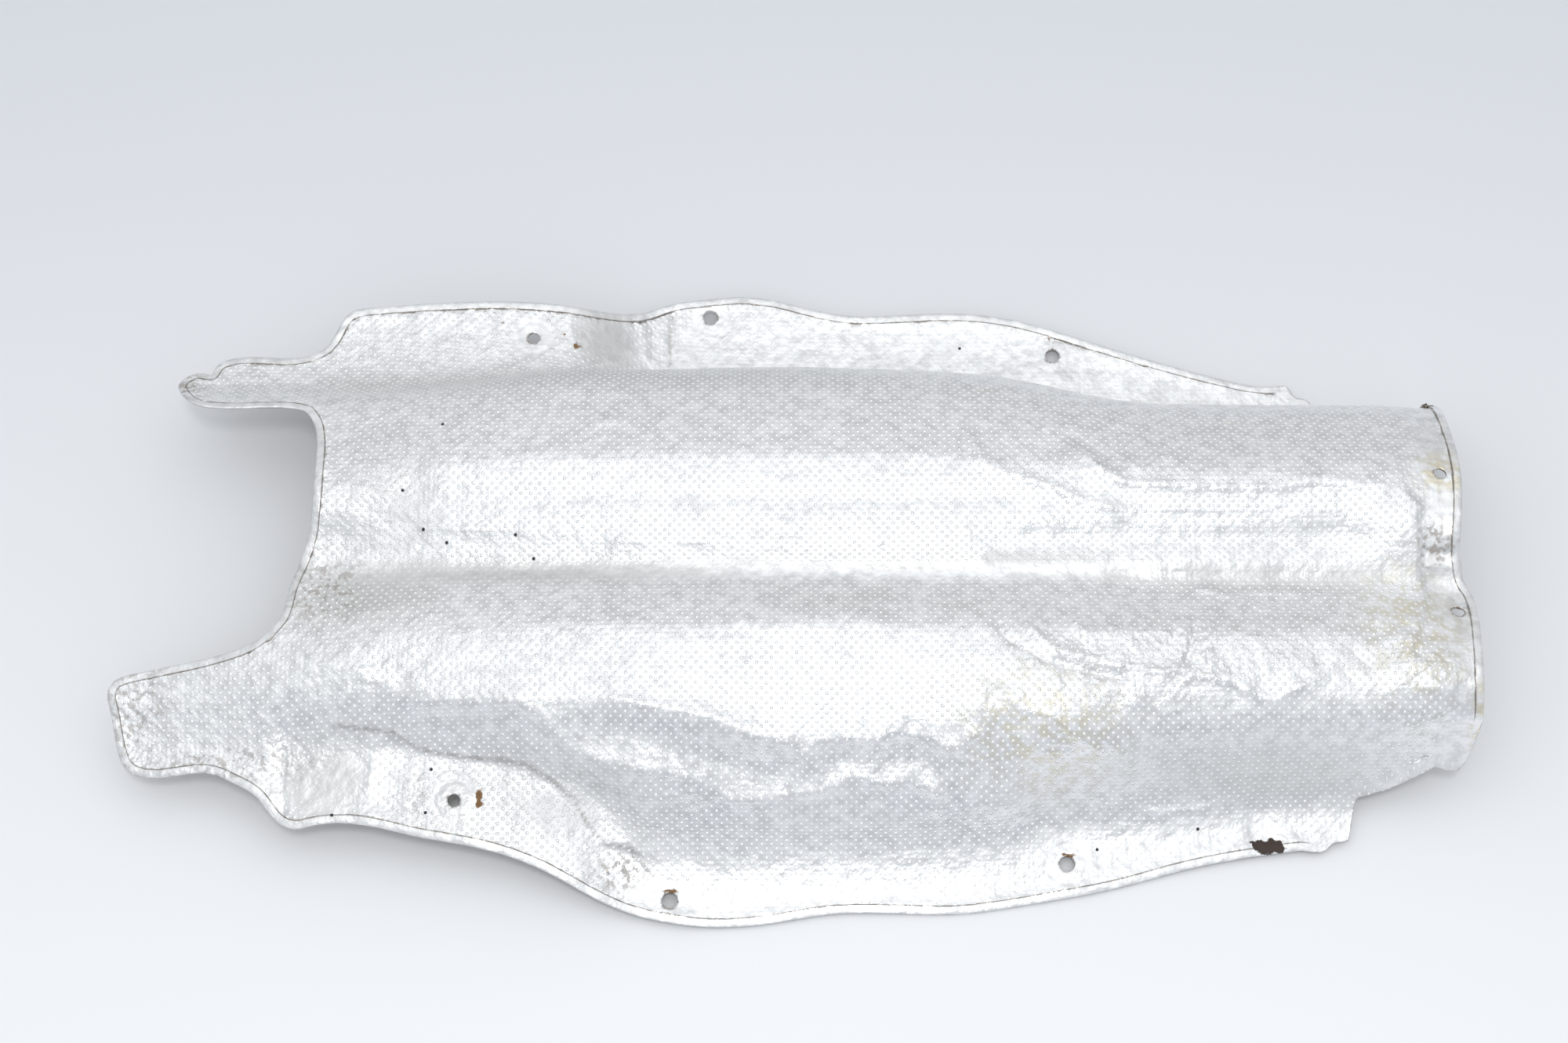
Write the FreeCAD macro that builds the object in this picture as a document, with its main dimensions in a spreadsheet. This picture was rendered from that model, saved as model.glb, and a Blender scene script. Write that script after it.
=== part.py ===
"""Heat shield: one embossed aluminium sheet, pressed into two arches between bolting flanges.

The sheet lies with its arches up. X runs along the arches, Y runs across them towards the far flange and
Z runs up from the surface that the flanges rest on. All sizes are in millimetres.
"""
import FreeCAD, Part
import math
import os

Vector = FreeCAD.Vector

# Sizes of the sheet as a whole
SHEET_SIZES = {
    "sheet_thickness": 1.2,
    "hem_width": 5.0,
    "hem_rise": 0.9,
    "hem_trim": 3.0,
    "flange_reach": 90,
    "foot_radius": 8,
    "far_flange_tilt": 4.5,
    "near_flange_tilt": 11.3,
    "far_shoulder_width": 9,
    "far_crown_width": 30,
    "prism_depth": 30,
    "prism_height": 150,
    "net_step": 11,
    "end_strip_start": 342,
    "end_strip_drop": 1.8,
    "end_strip_blend": 9,
    "pad_radius": 10,
    "pad_blend": 12,
}

# Cross-sections of the upper face along the sheet: where each stands and the places of its feet and crests
SECTION_COLUMNS = ("station", "far_foot_y", "far_foot_z", "far_lean", "upper_crest_y", "upper_crest_z",
                   "ridge_y", "ridge_z", "valley_y", "valley_z", "lower_crest_y", "lower_crest_z",
                   "near_foot_y", "near_foot_z")
SECTIONS = {
    "left_tip": (-376, 118.5, 40, 18, 38.5, 71, 15.5, 63, -0.5, 54, -48.5, 44, -105.5, 28),
    "left_end": (-256, 119.5, 37, 18, 37.5, 73, 14.5, 66, -1.5, 55, -59.5, 62, -104.5, 36),
    "raised": (-181, 123.5, 36, 14, 32.5, 78, 10.5, 73, -3.5, 60, -66.5, 72, -109.5, 36),
    "ramp_top": (-131, 128.5, 33, 10, 29.5, 80, 6.5, 76, -5.5, 62, -69.5, 76, -120.5, 32),
    "ramp_foot": (-73, 132.5, 7, 6, 28.5, 82, 2.5, 77, -8.5, 64, -70.5, 79, -143.5, 14),
    "middle": (0, 133.5, 5, 5, 27.5, 82, -0.5, 77, -9.5, 65, -70.5, 80, -147.5, 12),
    "swell": (104, 129.5, 4, 5, 27.5, 82, -0.5, 77, -11.5, 65, -71.5, 80, -143.5, 11),
    "neck": (210, 109.5, 4, 5, 28.5, 82, -3.5, 75, -15.5, 62, -72.5, 77, -134.5, 10),
    "right_end": (374, 107.5, 4, 4, 33.5, 82, -4.5, 71, -16.5, 60, -73.5, 76, -125.5, 12),
}

# Where the far wall bends on its way up: shares of its rise from the foot to the upper crest
FAR_WALL_RISE = {"wall": 0.24, "shoulder_foot": 0.47, "shoulder": 0.65, "crown": 0.81, "crown_top": 0.93}

# Where the near wall bends on its way down: shares of its span and its drop from the lower crest to the foot
NEAR_WALL = {"brow": (0.285, 0.075), "bend": (0.48, 0.235), "wall": (0.65, 0.485), "toe": (0.85, 0.80),
             "foot": (0.95, 0.95)}

# Bolt holes: place in plan, height of the flat pad round the hole and diameter
HOLE_COLUMNS = ("x", "y", "pad_z", "diameter")
FLANGE_HOLES = {
    "far_left_hole": (-151, 151.5, 34, 6.8),
    "near_left_hole": (-179.5, -133, 34, 6.8),
    "far_middle_hole": (-48, 181, 8, 8.5),
    "near_middle_hole": (-64.5, -180.5, 8, 8.5),
    "far_right_hole": (158, 156, 6.5, 8.5),
    "near_right_hole": (149, -160, 6.5, 8.5),
}
END_HOLES = {
    "upper_end_hole": (356.5, 39.5, 80, 7.0),
    "lower_end_hole": (360, -37, 66, 7.0),
}

# Plan outline, counter-clockwise from the inner corner of the notch: smooth stretches are curves, tears lines
OUTLINE = (
    ("lower_tab", "curve", ((-274.5, -27), (-276.5, -38), (-285, -48.5), (-304, -56.5), (-358.5, -65.5),
                            (-367, -69), (-370, -75.5), (-368.5, -82), (-356.5, -115), (-345.5, -118.5),
                            (-311, -117.5), (-298, -123), (-286.5, -129.5), (-277.5, -140), (-262, -147.5))),
    ("near_edge", "curve", ((-262, -147.5), (-225, -145.7), (-199.5, -151.5), (-153.5, -160.5), (-128, -170),
                            (-103.5, -181.5), (-83, -188.5), (-49.5, -194), (-3.5, -191), (17.5, -187.5),
                            (93, -186.5), (122.5, -182.5), (152, -177.5), (182, -171), (207.5, -164),
                            (255, -155), (276, -152.5))),
    ("near_tear", "line", ((276, -152.5), (284.5, -153.5), (290, -152.3), (293.5, -148), (302, -147.7),
                           (305.5, -130), (307, -125.5))),
    ("near_wall_edge", "curve", ((307, -125.5), (323, -122), (335, -118.5), (346, -114))),
    ("corner_tear", "line", ((346, -114), (360, -115), (363.5, -110.5), (366.5, -98.5))),
    ("right_end", "curve", ((366.5, -98.5), (365.5, -85), (369.5, -44), (370, -24), (367, -16), (366, 21),
                            (369.5, 64.5), (371, 97), (371, 112.5))),
    ("far_lip", "curve", ((371, 112.5), (340, 113), (312, 115))),
    ("far_tear", "line", ((312, 115), (309, 127), (303.5, 131.5), (304, 126.5), (300, 130), (299, 137))),
    ("far_edge", "curve", ((299, 137), (282.5, 135.5), (259.5, 140), (213, 153.5), (185.5, 162.5),
                           (157.5, 172.7), (115.5, 182.6), (87, 183.7), (25, 183.6), (-3.5, 190.7),
                           (-29.7, 194), (-51, 192.2), (-71, 188), (-91, 178.7), (-115.5, 172.7),
                           (-143, 173.3), (-207.5, 171.7), (-253.5, 167.6))),
    ("upper_tab", "curve", ((-253.5, 167.6), (-262, 162.4), (-271, 144.7), (-283.5, 137), (-324, 135.2),
                            (-331.5, 132), (-336, 122.5))),
    ("tab_tip", "curve", ((-336, 122.5), (-350.5, 120), (-353, 114.5), (-349, 104.6), (-342.5, 96.5),
                          (-310, 90), (-274, 87.3))),
    ("left_end", "curve", ((-274, 87.3), (-268, 78.5), (-264.5, 67), (-262.5, 44.5), (-264.5, 11.5),
                           (-268.5, -1), (-274.5, -27))),
)

# Stretches of edge where the hem is torn away: lowest corner in plan, length along X and width along Y
BARE_COLUMNS = ("x", "y", "length", "width")
BARE_EDGES = {
    "near_tear_bare": (279, -160, 51, 48),
    "corner_tear_bare": (341, -122, 34, 25),
    "far_tear_bare": (290, 108, 40, 34),
}

# Folds pressed into the sheet by use: a line in plan, the height over the sheet and the half width
FOLDS = {
    "upper_fold": (((95, 73), (121, 43), (146, 26), (176, 20), (223, 21), (274, 29), (305, 34)), -2.4, 9),
    "lower_fold": (((109, -44), (121, -58), (153, -72), (208, -79), (254, -91)), -2.6, 9),
    "inner_streak": (((102, -76), (133, -104), (166, -120)), 2.2, 8),
    "outer_streak": (((124, -82), (153, -104), (190, -122)), 2.0, 8),
    "flange_fold": (((-161, -112), (-121, -128), (-102, -150)), 2.4, 9),
    "far_crease": (((-69, 195), (-69, 150)), 2.2, 7),
    "tab_crease": (((-277, -66), (-272, -92), (-270, -146)), -1.6, 9),
    "flange_step": (((252, -128), (252, -156)), -1.6, 8),
}

# Dents: place in plan, half lengths along X and Y, and depth below the sheet
DENT_COLUMNS = ("x", "y", "half_length", "half_width", "depth")
DENTS = {
    "wall_dent": (66, -104, 24, 13, 2.4),
    "left_wall_dent": (18, -108, 20, 12, 1.8),
    "crest_dent": (-214, 30, 26, 18, 2.0),
    "neck_dent": (160, 52, 26, 14, 2.4),
}

SAMPLES_PER_SPAN = 2
MESH_TOLERANCE = 0.1


def write_sheet(document):
    """Put every driving size in a spreadsheet, one named cell each."""
    sheet = document.addObject("Spreadsheet::Sheet", "Sizes")
    cells = dict(SHEET_SIZES)
    for name, row in SECTIONS.items():
        cells.update({f"{name}_{column}": value for column, value in zip(SECTION_COLUMNS, row)})
    for name, row in {**FLANGE_HOLES, **END_HOLES}.items():
        cells.update({f"{name}_{column}": value for column, value in zip(HOLE_COLUMNS, row)})
    for name, row in BARE_EDGES.items():
        cells.update({f"{name}_{column}": value for column, value in zip(BARE_COLUMNS, row)})
    for name, row in DENTS.items():
        cells.update({f"{name}_{column}": value for column, value in zip(DENT_COLUMNS, row)})
    for name, (_, height, half_width) in FOLDS.items():
        cells[f"{name}_height"] = height
        cells[f"{name}_half_width"] = half_width
    for row, (alias, value) in enumerate(cells.items(), start=1):
        sheet.set(f"A{row}", alias)
        sheet.set(f"B{row}", str(value))
        sheet.setAlias(f"B{row}", alias)
    document.recompute()
    return {alias: float(sheet.get(alias)) for alias in cells}


def smooth(value):
    """Ease from 0 to 1 while the value goes from 0 to 1."""
    value = min(max(value, 0.0), 1.0)
    return value * value * (3 - 2 * value)


class PressedForm:
    """The upper face of the pressed sheet, worked out from the sections in the spreadsheet."""

    def __init__(self, size):
        self.size = size
        self.stations = [size[f"{name}_station"] for name in SECTIONS]
        self.far_slope = math.tan(math.radians(size["far_flange_tilt"]))
        self.near_slope = math.tan(math.radians(size["near_flange_tilt"]))

    def along(self, x, column):
        """Value of one section column at x, eased between the stations without overshoot."""
        values = [self.size[f"{name}_{column}"] for name in SECTIONS]
        last = len(self.stations) - 2
        span = sum(1 for station in self.stations[1:-1] if station <= x)
        span = min(span, last)
        gaps = [b - a for a, b in zip(self.stations, self.stations[1:])]
        slopes = [(b - a) / gap for a, b, gap in zip(values, values[1:], gaps)]

        def tangent(index):
            if index in (0, last + 1) or slopes[index - 1] * slopes[index] <= 0:
                return 0.0
            return 2 * slopes[index - 1] * slopes[index] / (slopes[index - 1] + slopes[index])

        gap = gaps[span]
        t = (x - self.stations[span]) / gap
        start, end = values[span], values[span + 1]
        eased = start + (end - start) * t * t * (3 - 2 * t)
        return eased + gap * t * (1 - t) * ((1 - t) * tangent(span) - t * tangent(span + 1))

    def section(self, x):
        """Corner points (y, z) of the section at x, from the far flange to the near flange."""
        at = {column: self.along(x, column) for column in SECTION_COLUMNS[1:]}
        reach, foot = self.size["flange_reach"], self.size["foot_radius"]
        far_y, far_z, lean = at["far_foot_y"], at["far_foot_z"], at["far_lean"]
        near_y, near_z = at["near_foot_y"], at["near_foot_z"]
        upper_y, upper_z = at["upper_crest_y"], at["upper_crest_z"]
        ridge_y, ridge_z = at["ridge_y"], at["ridge_z"]
        valley_y, valley_z = at["valley_y"], at["valley_z"]
        lower_y, lower_z = at["lower_crest_y"], at["lower_crest_z"]
        far_rise = upper_z - far_z
        lower_rise = lower_z - valley_z
        near_rise = lower_z - near_z
        near_span = lower_y - near_y
        wall_y = far_y - lean
        crown_y = wall_y - self.size["far_crown_width"]
        far_ys = {
            "wall": far_y - 0.5 * lean,
            "shoulder_foot": wall_y,
            "shoulder": wall_y - self.size["far_shoulder_width"],
            "crown": crown_y,
            "crown_top": 0.55 * crown_y + 0.45 * upper_y,
        }
        far_flange = [(far_y + out, far_z + out * self.far_slope) for out in (reach, 0.5 * reach, foot)]
        far_foot = [(far_y + 0.1 * foot, far_z + 0.4 * foot)]
        far_wall = [(far_ys[name], far_z + share * far_rise) for name, share in FAR_WALL_RISE.items()]
        groove = [
            (upper_y, upper_z),
            (ridge_y + 3, ridge_z + 1),
            (ridge_y - 1, ridge_z - 3),
            (valley_y + 2, valley_z + 2),
            (valley_y - 4, valley_z),
            (0.6 * valley_y + 0.4 * lower_y, valley_z + 0.5 * lower_rise),
            (0.2 * valley_y + 0.8 * lower_y, valley_z + 0.93 * lower_rise),
            (lower_y, lower_z),
        ]
        near_wall = [(lower_y - out * near_span, lower_z - down * near_rise)
                     for out, down in NEAR_WALL.values()]
        near_flange = [(near_y - out, near_z - out * self.near_slope) for out in (foot, 0.5 * reach, reach)]
        return far_flange + far_foot + far_wall + groove + near_wall + near_flange

    def section_curve(self, x):
        """Points along the smooth section at x: an interpolated curve, read at even steps of each span."""
        corners = [Vector(x, y, z) for y, z in self.section(x)]
        curve = Part.BSplineCurve()
        curve.interpolate(corners)
        knots = curve.getKnots()
        points = []
        for start, end in zip(knots, knots[1:]):
            steps = [start + (end - start) * k / SAMPLES_PER_SPAN for k in range(SAMPLES_PER_SPAN)]
            points += [curve.value(step) for step in steps]
        return points + [curve.value(knots[-1])]

    def fold_height(self, x, y):
        """Height that the folds and dents add to the sheet at a place in plan."""
        height = 0.0
        for name, (line, _, _) in FOLDS.items():
            half_width = self.size[f"{name}_half_width"]
            distance, place = distance_to_line(x, y, line)
            taper = smooth(4 * place) * smooth(4 * (1 - place))
            height += self.size[f"{name}_height"] * taper * math.exp(-(distance / half_width) ** 2)
        for name in DENTS:
            dx = (x - self.size[f"{name}_x"]) / self.size[f"{name}_half_length"]
            dy = (y - self.size[f"{name}_y"]) / self.size[f"{name}_half_width"]
            height -= self.size[f"{name}_depth"] * math.exp(-dx * dx - dy * dy)
        past_step = (x - self.size["end_strip_start"]) / self.size["end_strip_blend"]
        return height - self.size["end_strip_drop"] * smooth(past_step)

    def flatten_pads(self, point):
        """Bring a point near a flange hole to the height of the hole's flat pad."""
        for name in FLANGE_HOLES:
            centre = Vector(self.size[f"{name}_x"], self.size[f"{name}_y"], point.z)
            outside = point.distanceToPoint(centre) - self.size["pad_radius"]
            share = 1 - smooth(outside / self.size["pad_blend"])
            point = Vector(point.x, point.y, point.z + share * (self.size[f"{name}_pad_z"] - point.z))
        return point

    def net(self):
        """Rows of points on the upper face, one row for each step along X."""
        first, last = self.stations[0], self.stations[-1]
        count = math.ceil((last - first) / self.size["net_step"])
        rows = [self.section_curve(first + (last - first) * k / count) for k in range(count + 1)]
        normals = net_normals(rows)
        return [[self.flatten_pads(point + normal * self.fold_height(point.x, point.y))
                 for point, normal in zip(row, normal_row)] for row, normal_row in zip(rows, normals)]


def distance_to_line(x, y, line):
    """Distance in plan from a place to a line of points, and the share of its length passed there."""
    total = sum(math.dist(a, b) for a, b in zip(line, line[1:]))
    best, best_place, passed = math.inf, 0.0, 0.0
    for (ax, ay), (bx, by) in zip(line, line[1:]):
        length = math.dist((ax, ay), (bx, by))
        along = ((x - ax) * (bx - ax) + (y - ay) * (by - ay)) / length
        along = min(max(along, 0.0), length)
        foot = (ax + (bx - ax) * along / length, ay + (by - ay) * along / length)
        distance = math.dist((x, y), foot)
        if distance < best:
            best, best_place = distance, (passed + along) / total
        passed += length
    return best, best_place


def net_normals(rows):
    """Upward unit normal at each point of a net."""
    normals = []
    for i, row in enumerate(rows):
        before, after = rows[max(i - 1, 0)], rows[min(i + 1, len(rows) - 1)]
        line = []
        for j in range(len(row)):
            along_x = after[j] - before[j]
            across = row[max(j - 1, 0)] - row[min(j + 1, len(row) - 1)]
            line.append(along_x.cross(across).normalize())
        normals.append(line)
    return normals


def offset_net(rows, distance):
    """A net moved along its normals by a distance."""
    return [[point + normal * distance for point, normal in zip(row, normal_row)]
            for row, normal_row in zip(rows, net_normals(rows))]


def clamped_knots(poles, degree):
    """Knots and multiplicities of a clamped spline with evenly spaced inner knots."""
    inner = poles - degree - 1
    return list(range(inner + 2)), [degree + 1] + [1] * inner + [degree + 1]


def net_surface(rows):
    """Cubic spline surface whose poles are the net's points."""
    degree = 3
    u_knots, u_mults = clamped_knots(len(rows), degree)
    v_knots, v_mults = clamped_knots(len(rows[0]), degree)
    surface = Part.BSplineSurface()
    surface.buildFromPolesMultsKnots(rows, u_mults, v_mults, u_knots, v_knots, False, False, degree, degree)
    return surface


def net_edges(surface):
    """The four border edges of a surface, in a fixed order."""
    u_start, u_end, v_start, v_end = surface.bounds()
    borders = (surface.uIso(u_start), surface.uIso(u_end), surface.vIso(v_start), surface.vIso(v_end))
    return [border.toShape() for border in borders]


def layer(upper_rows, lower_rows):
    """Solid between two nets."""
    upper, lower = net_surface(upper_rows), net_surface(lower_rows)
    faces = [upper.toShape(), lower.toShape()]
    faces += [Part.makeRuledSurface(a, b) for a, b in zip(net_edges(upper), net_edges(lower))]
    shell = Part.Shell(faces)
    shell.sewShape()
    solid = Part.Solid(shell)
    if solid.Volume < 0:
        solid.reverse()
    return solid


def outline_wire():
    """The closed plan outline, with curves through the smooth stretches and lines along the tears."""
    edges = []
    for _, kind, points in OUTLINE:
        places = [Vector(x, y, 0) for x, y in points]
        if kind == "curve":
            curve = Part.BSplineCurve()
            curve.interpolate(places)
            edges.append(curve.toShape())
        else:
            edges += Part.makePolygon(places).Edges
    return Part.Wire(Part.__sortEdges__(edges))


def offset_wire(outline, distance):
    """A line in plan at a distance from the outline, outwards where it is positive, made of plain splines."""
    offset = outline.makeOffset2D(distance).toNurbs()
    return Part.Wire(Part.__sortEdges__(offset.Edges))


def add_shape(document, name, shape):
    """A feature with a shape of its own."""
    feature = document.addObject("Part::Feature", name)
    feature.Shape = shape
    return feature


def add_prism(document, name, profile):
    """A solid prism that stands on a plan profile and reaches through the whole sheet."""
    prism = document.addObject("Part::Extrusion", name)
    prism.Base = profile
    prism.DirMode = "Custom"
    prism.Dir = Vector(0, 0, 1)
    prism.Solid = True
    prism.setExpression("LengthFwd", "Sizes.prism_height")
    prism.setExpression("LengthRev", "Sizes.prism_depth")
    return prism


def add_boolean(document, kind, name, base, tool):
    """A Part boolean of two features."""
    result = document.addObject(f"Part::{kind}", name)
    result.Base = base
    result.Tool = tool
    return result


def add_bare_edges(document):
    """Boxes over the torn ends, where the sheet has lost its hem."""
    boxes = []
    for name in BARE_EDGES:
        box = document.addObject("Part::Box", name)
        box.setExpression("Length", f"Sizes.{name}_length")
        box.setExpression("Width", f"Sizes.{name}_width")
        box.setExpression("Height", "Sizes.prism_height")
        box.setExpression("Placement.Base.x", f"Sizes.{name}_x")
        box.setExpression("Placement.Base.y", f"Sizes.{name}_y")
        boxes.append(box)
    group = document.addObject("Part::MultiFuse", "bare_edges")
    group.Shapes = boxes
    return group


def add_holes(document):
    """Drills for every bolt hole, upright through the sheet."""
    drills = []
    for name in {**FLANGE_HOLES, **END_HOLES}:
        drill = document.addObject("Part::Cylinder", name)
        drill.setExpression("Radius", f"Sizes.{name}_diameter / 2")
        drill.setExpression("Height", "2 * Sizes.prism_depth")
        drill.setExpression("Placement.Base.x", f"Sizes.{name}_x")
        drill.setExpression("Placement.Base.y", f"Sizes.{name}_y")
        drill.setExpression("Placement.Base.z", f"Sizes.{name}_pad_z - Sizes.prism_depth")
        drills.append(drill)
    group = document.addObject("Part::MultiFuse", "bolt_holes")
    group.Shapes = drills
    return group


def rest_place(shape):
    """Move that brings the middle of a shape's underside to the origin, measured on its meshed faces."""
    points, _ = shape.tessellate(MESH_TOLERANCE)
    x_values = [point.x for point in points]
    y_values = [point.y for point in points]
    middle_x = (min(x_values) + max(x_values)) / 2
    middle_y = (min(y_values) + max(y_values)) / 2
    return Vector(-middle_x, -middle_y, -min(point.z for point in points))


def build(document):
    """Build the heat shield and return its finished object."""
    size = write_sheet(document)
    upper = PressedForm(size).net()
    thickness = size["sheet_thickness"]
    pressed = add_shape(document, "pressed_sheet", layer(upper, offset_net(upper, -thickness)))
    fold_back = layer(offset_net(upper, size["hem_rise"]), offset_net(upper, -0.5 * thickness))
    folded = add_shape(document, "folded_layer", fold_back)
    outline = outline_wire()
    hem_line = add_shape(document, "hem_line", offset_wire(outline, -size["hem_width"]))
    trim_line = add_shape(document, "trim_line", offset_wire(outline, size["hem_trim"]))
    inside = add_prism(document, "inside_hem", hem_line)
    around = add_prism(document, "around_hem", trim_line)
    blank = add_prism(document, "blank", add_shape(document, "plan_outline", outline))
    ring = add_boolean(document, "Cut", "hem_ring", around, inside)
    kept_ring = add_boolean(document, "Cut", "kept_hem_ring", ring, add_bare_edges(document))
    hem = add_boolean(document, "Common", "hem", folded, kept_ring)
    drilled = add_boolean(document, "Cut", "drilled_sheet", pressed, add_holes(document))
    rimmed = add_boolean(document, "Fuse", "rimmed_sheet", drilled, hem)
    shield = add_boolean(document, "Common", "heat_shield", rimmed, blank)
    shield.Label = "heat_shield"
    document.recompute()
    shield.Placement.Base = rest_place(shield.Shape)
    document.recompute()
    return shield


def check(document):
    """Stop if any object of the document failed or holds a bad shape."""
    for item in document.Objects:
        if "Invalid" in item.State or "Error" in item.State:
            raise RuntimeError(f"{item.Label} did not build")
        shape = getattr(item, "Shape", None)
        if shape is not None and (shape.isNull() or not shape.isValid()):
            raise RuntimeError(f"{item.Label} has a bad shape")


def main():
    """Build the part, check it and write its solid."""
    document = FreeCAD.newDocument("HeatShield")
    shield = build(document)
    check(document)
    os.makedirs("parts", exist_ok=True)
    shield.Shape.exportStep(f"parts/{shield.Label}.step")


main()
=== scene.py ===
"""Looks of a car heat shield: an embossed aluminium sheet with a hem, dents, stains and torn corners, with
some painted shade and glints on the metal and a painted light gradient on the floor.
"""
import logging
import math
from dataclasses import dataclass
from enum import Enum

import bmesh
import bpy
import numpy as np
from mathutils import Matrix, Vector, noise
from mathutils.bvhtree import BVHTree


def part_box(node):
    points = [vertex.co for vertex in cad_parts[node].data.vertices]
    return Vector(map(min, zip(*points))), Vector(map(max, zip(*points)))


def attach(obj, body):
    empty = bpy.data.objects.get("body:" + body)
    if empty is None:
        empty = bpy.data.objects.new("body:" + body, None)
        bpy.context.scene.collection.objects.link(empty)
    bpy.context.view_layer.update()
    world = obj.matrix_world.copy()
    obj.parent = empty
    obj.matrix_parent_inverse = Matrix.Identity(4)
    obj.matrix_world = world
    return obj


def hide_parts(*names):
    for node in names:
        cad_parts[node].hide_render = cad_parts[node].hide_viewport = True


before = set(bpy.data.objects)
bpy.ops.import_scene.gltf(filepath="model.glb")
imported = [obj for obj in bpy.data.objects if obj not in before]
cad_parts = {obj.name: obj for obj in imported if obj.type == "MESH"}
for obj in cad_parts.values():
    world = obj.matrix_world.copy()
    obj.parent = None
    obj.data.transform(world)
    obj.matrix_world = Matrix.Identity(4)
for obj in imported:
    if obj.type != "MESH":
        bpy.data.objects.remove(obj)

LOG = logging.getLogger("heat_shield")
MM = 0.001
SHIELD_NODE = "heat_shield"
DOWN = Vector((0, 0, -1))
Place = tuple[float, float]
Span = tuple[float, float]
Triple = tuple[float, float, float]
Socket = bpy.types.NodeSocket
Number = Socket | float
Colour = tuple[float, float, float, float]


class Profile(Enum):
    """Cross-section of a mark pressed into the sheet."""

    RIDGE = "round ridge"
    FOLD = "sharp fold"
    STEP = "step down on the left of the line"


@dataclass(frozen=True)
class Crease:
    """A line pressed into the sheet: its run in plan, its height along the normal and its width, in mm."""

    run: tuple[Place, ...]
    height: float
    width: float
    profile: Profile = Profile.FOLD
    end_share: float = 0.12
    step_reach: float = 6.0

    def follow(self, places: np.ndarray) -> tuple[np.ndarray, np.ndarray, np.ndarray]:
        """Finds each place's nearest point on the run.

        Args:
            places: Places in plan, in mm, one row each.

        Returns:
            Distance to the run in mm, share of the run passed, and the side, 1 on the left, -1 on the right.
        """
        points = np.array(self.run, float)
        lengths = np.linalg.norm(np.diff(points, axis=0), axis=1)
        passed = np.concatenate(([0.0], np.cumsum(lengths)))
        nearest = np.full(len(places), np.inf)
        share = np.zeros(len(places))
        side = np.zeros(len(places))
        for start, end, length, before in zip(points, points[1:], lengths, passed):
            along = (end - start) / length
            offset = places - start
            t = np.clip(offset @ along, 0, length)
            distance = np.linalg.norm(offset - t[:, None] * along, axis=1)
            closer = distance < nearest
            nearest[closer] = distance[closer]
            share[closer] = ((before + t) / passed[-1])[closer]
            side[closer] = np.sign(along[0] * offset[:, 1] - along[1] * offset[:, 0])[closer]
        return nearest, share, side

    def lift(self, places: np.ndarray) -> np.ndarray:
        """Height that the crease gives to each place.

        Args:
            places: Places in plan, in mm, one row each.

        Returns:
            Heights in mm.
        """
        nearest, share, side = self.follow(places)
        ends = smooth_step(np.minimum(share, 1 - share) / self.end_share)
        if self.profile is Profile.RIDGE:
            return self.height * ends * np.exp(-(nearest / self.width) ** 2)
        if self.profile is Profile.FOLD:
            return self.height * ends * np.exp(-nearest / self.width)
        fade = np.exp(-(nearest / (self.step_reach * self.width)) ** 2)
        return -0.5 * self.height * ends * fade * np.tanh(side * nearest / self.width)


@dataclass(frozen=True)
class Crumple:
    """A patch of crumpled sheet: its centre, half lengths in plan, depth and size of facets, in mm."""

    centre: Place
    reach: Place
    depth: float
    facet: float
    falloff: float = 1.4
    least_weight: float = 0.02
    finer: float = 2.3
    coarse_share: float = 1.6
    fine_share: float = 0.7

    def lift(self, places: np.ndarray) -> np.ndarray:
        """Height that the crumple gives to each place.

        Args:
            places: Places in plan, in mm, one row each.

        Returns:
            Heights in mm.
        """
        offset = (places - self.centre) / self.reach
        weight = np.exp(-self.falloff * np.sum(offset ** 2, axis=1) ** 1.5)
        lift = np.zeros(len(places))
        for index in np.nonzero(weight > self.least_weight)[0]:
            x, y = places[index] / self.facet
            coarse = abs(noise.noise((x, y, self.facet)))
            fine = abs(noise.noise((self.finer * x, self.finer * y, 3 + self.facet)))
            lift[index] = 1.0 - self.coarse_share * coarse - self.fine_share * fine
        return self.depth * weight * lift


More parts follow.
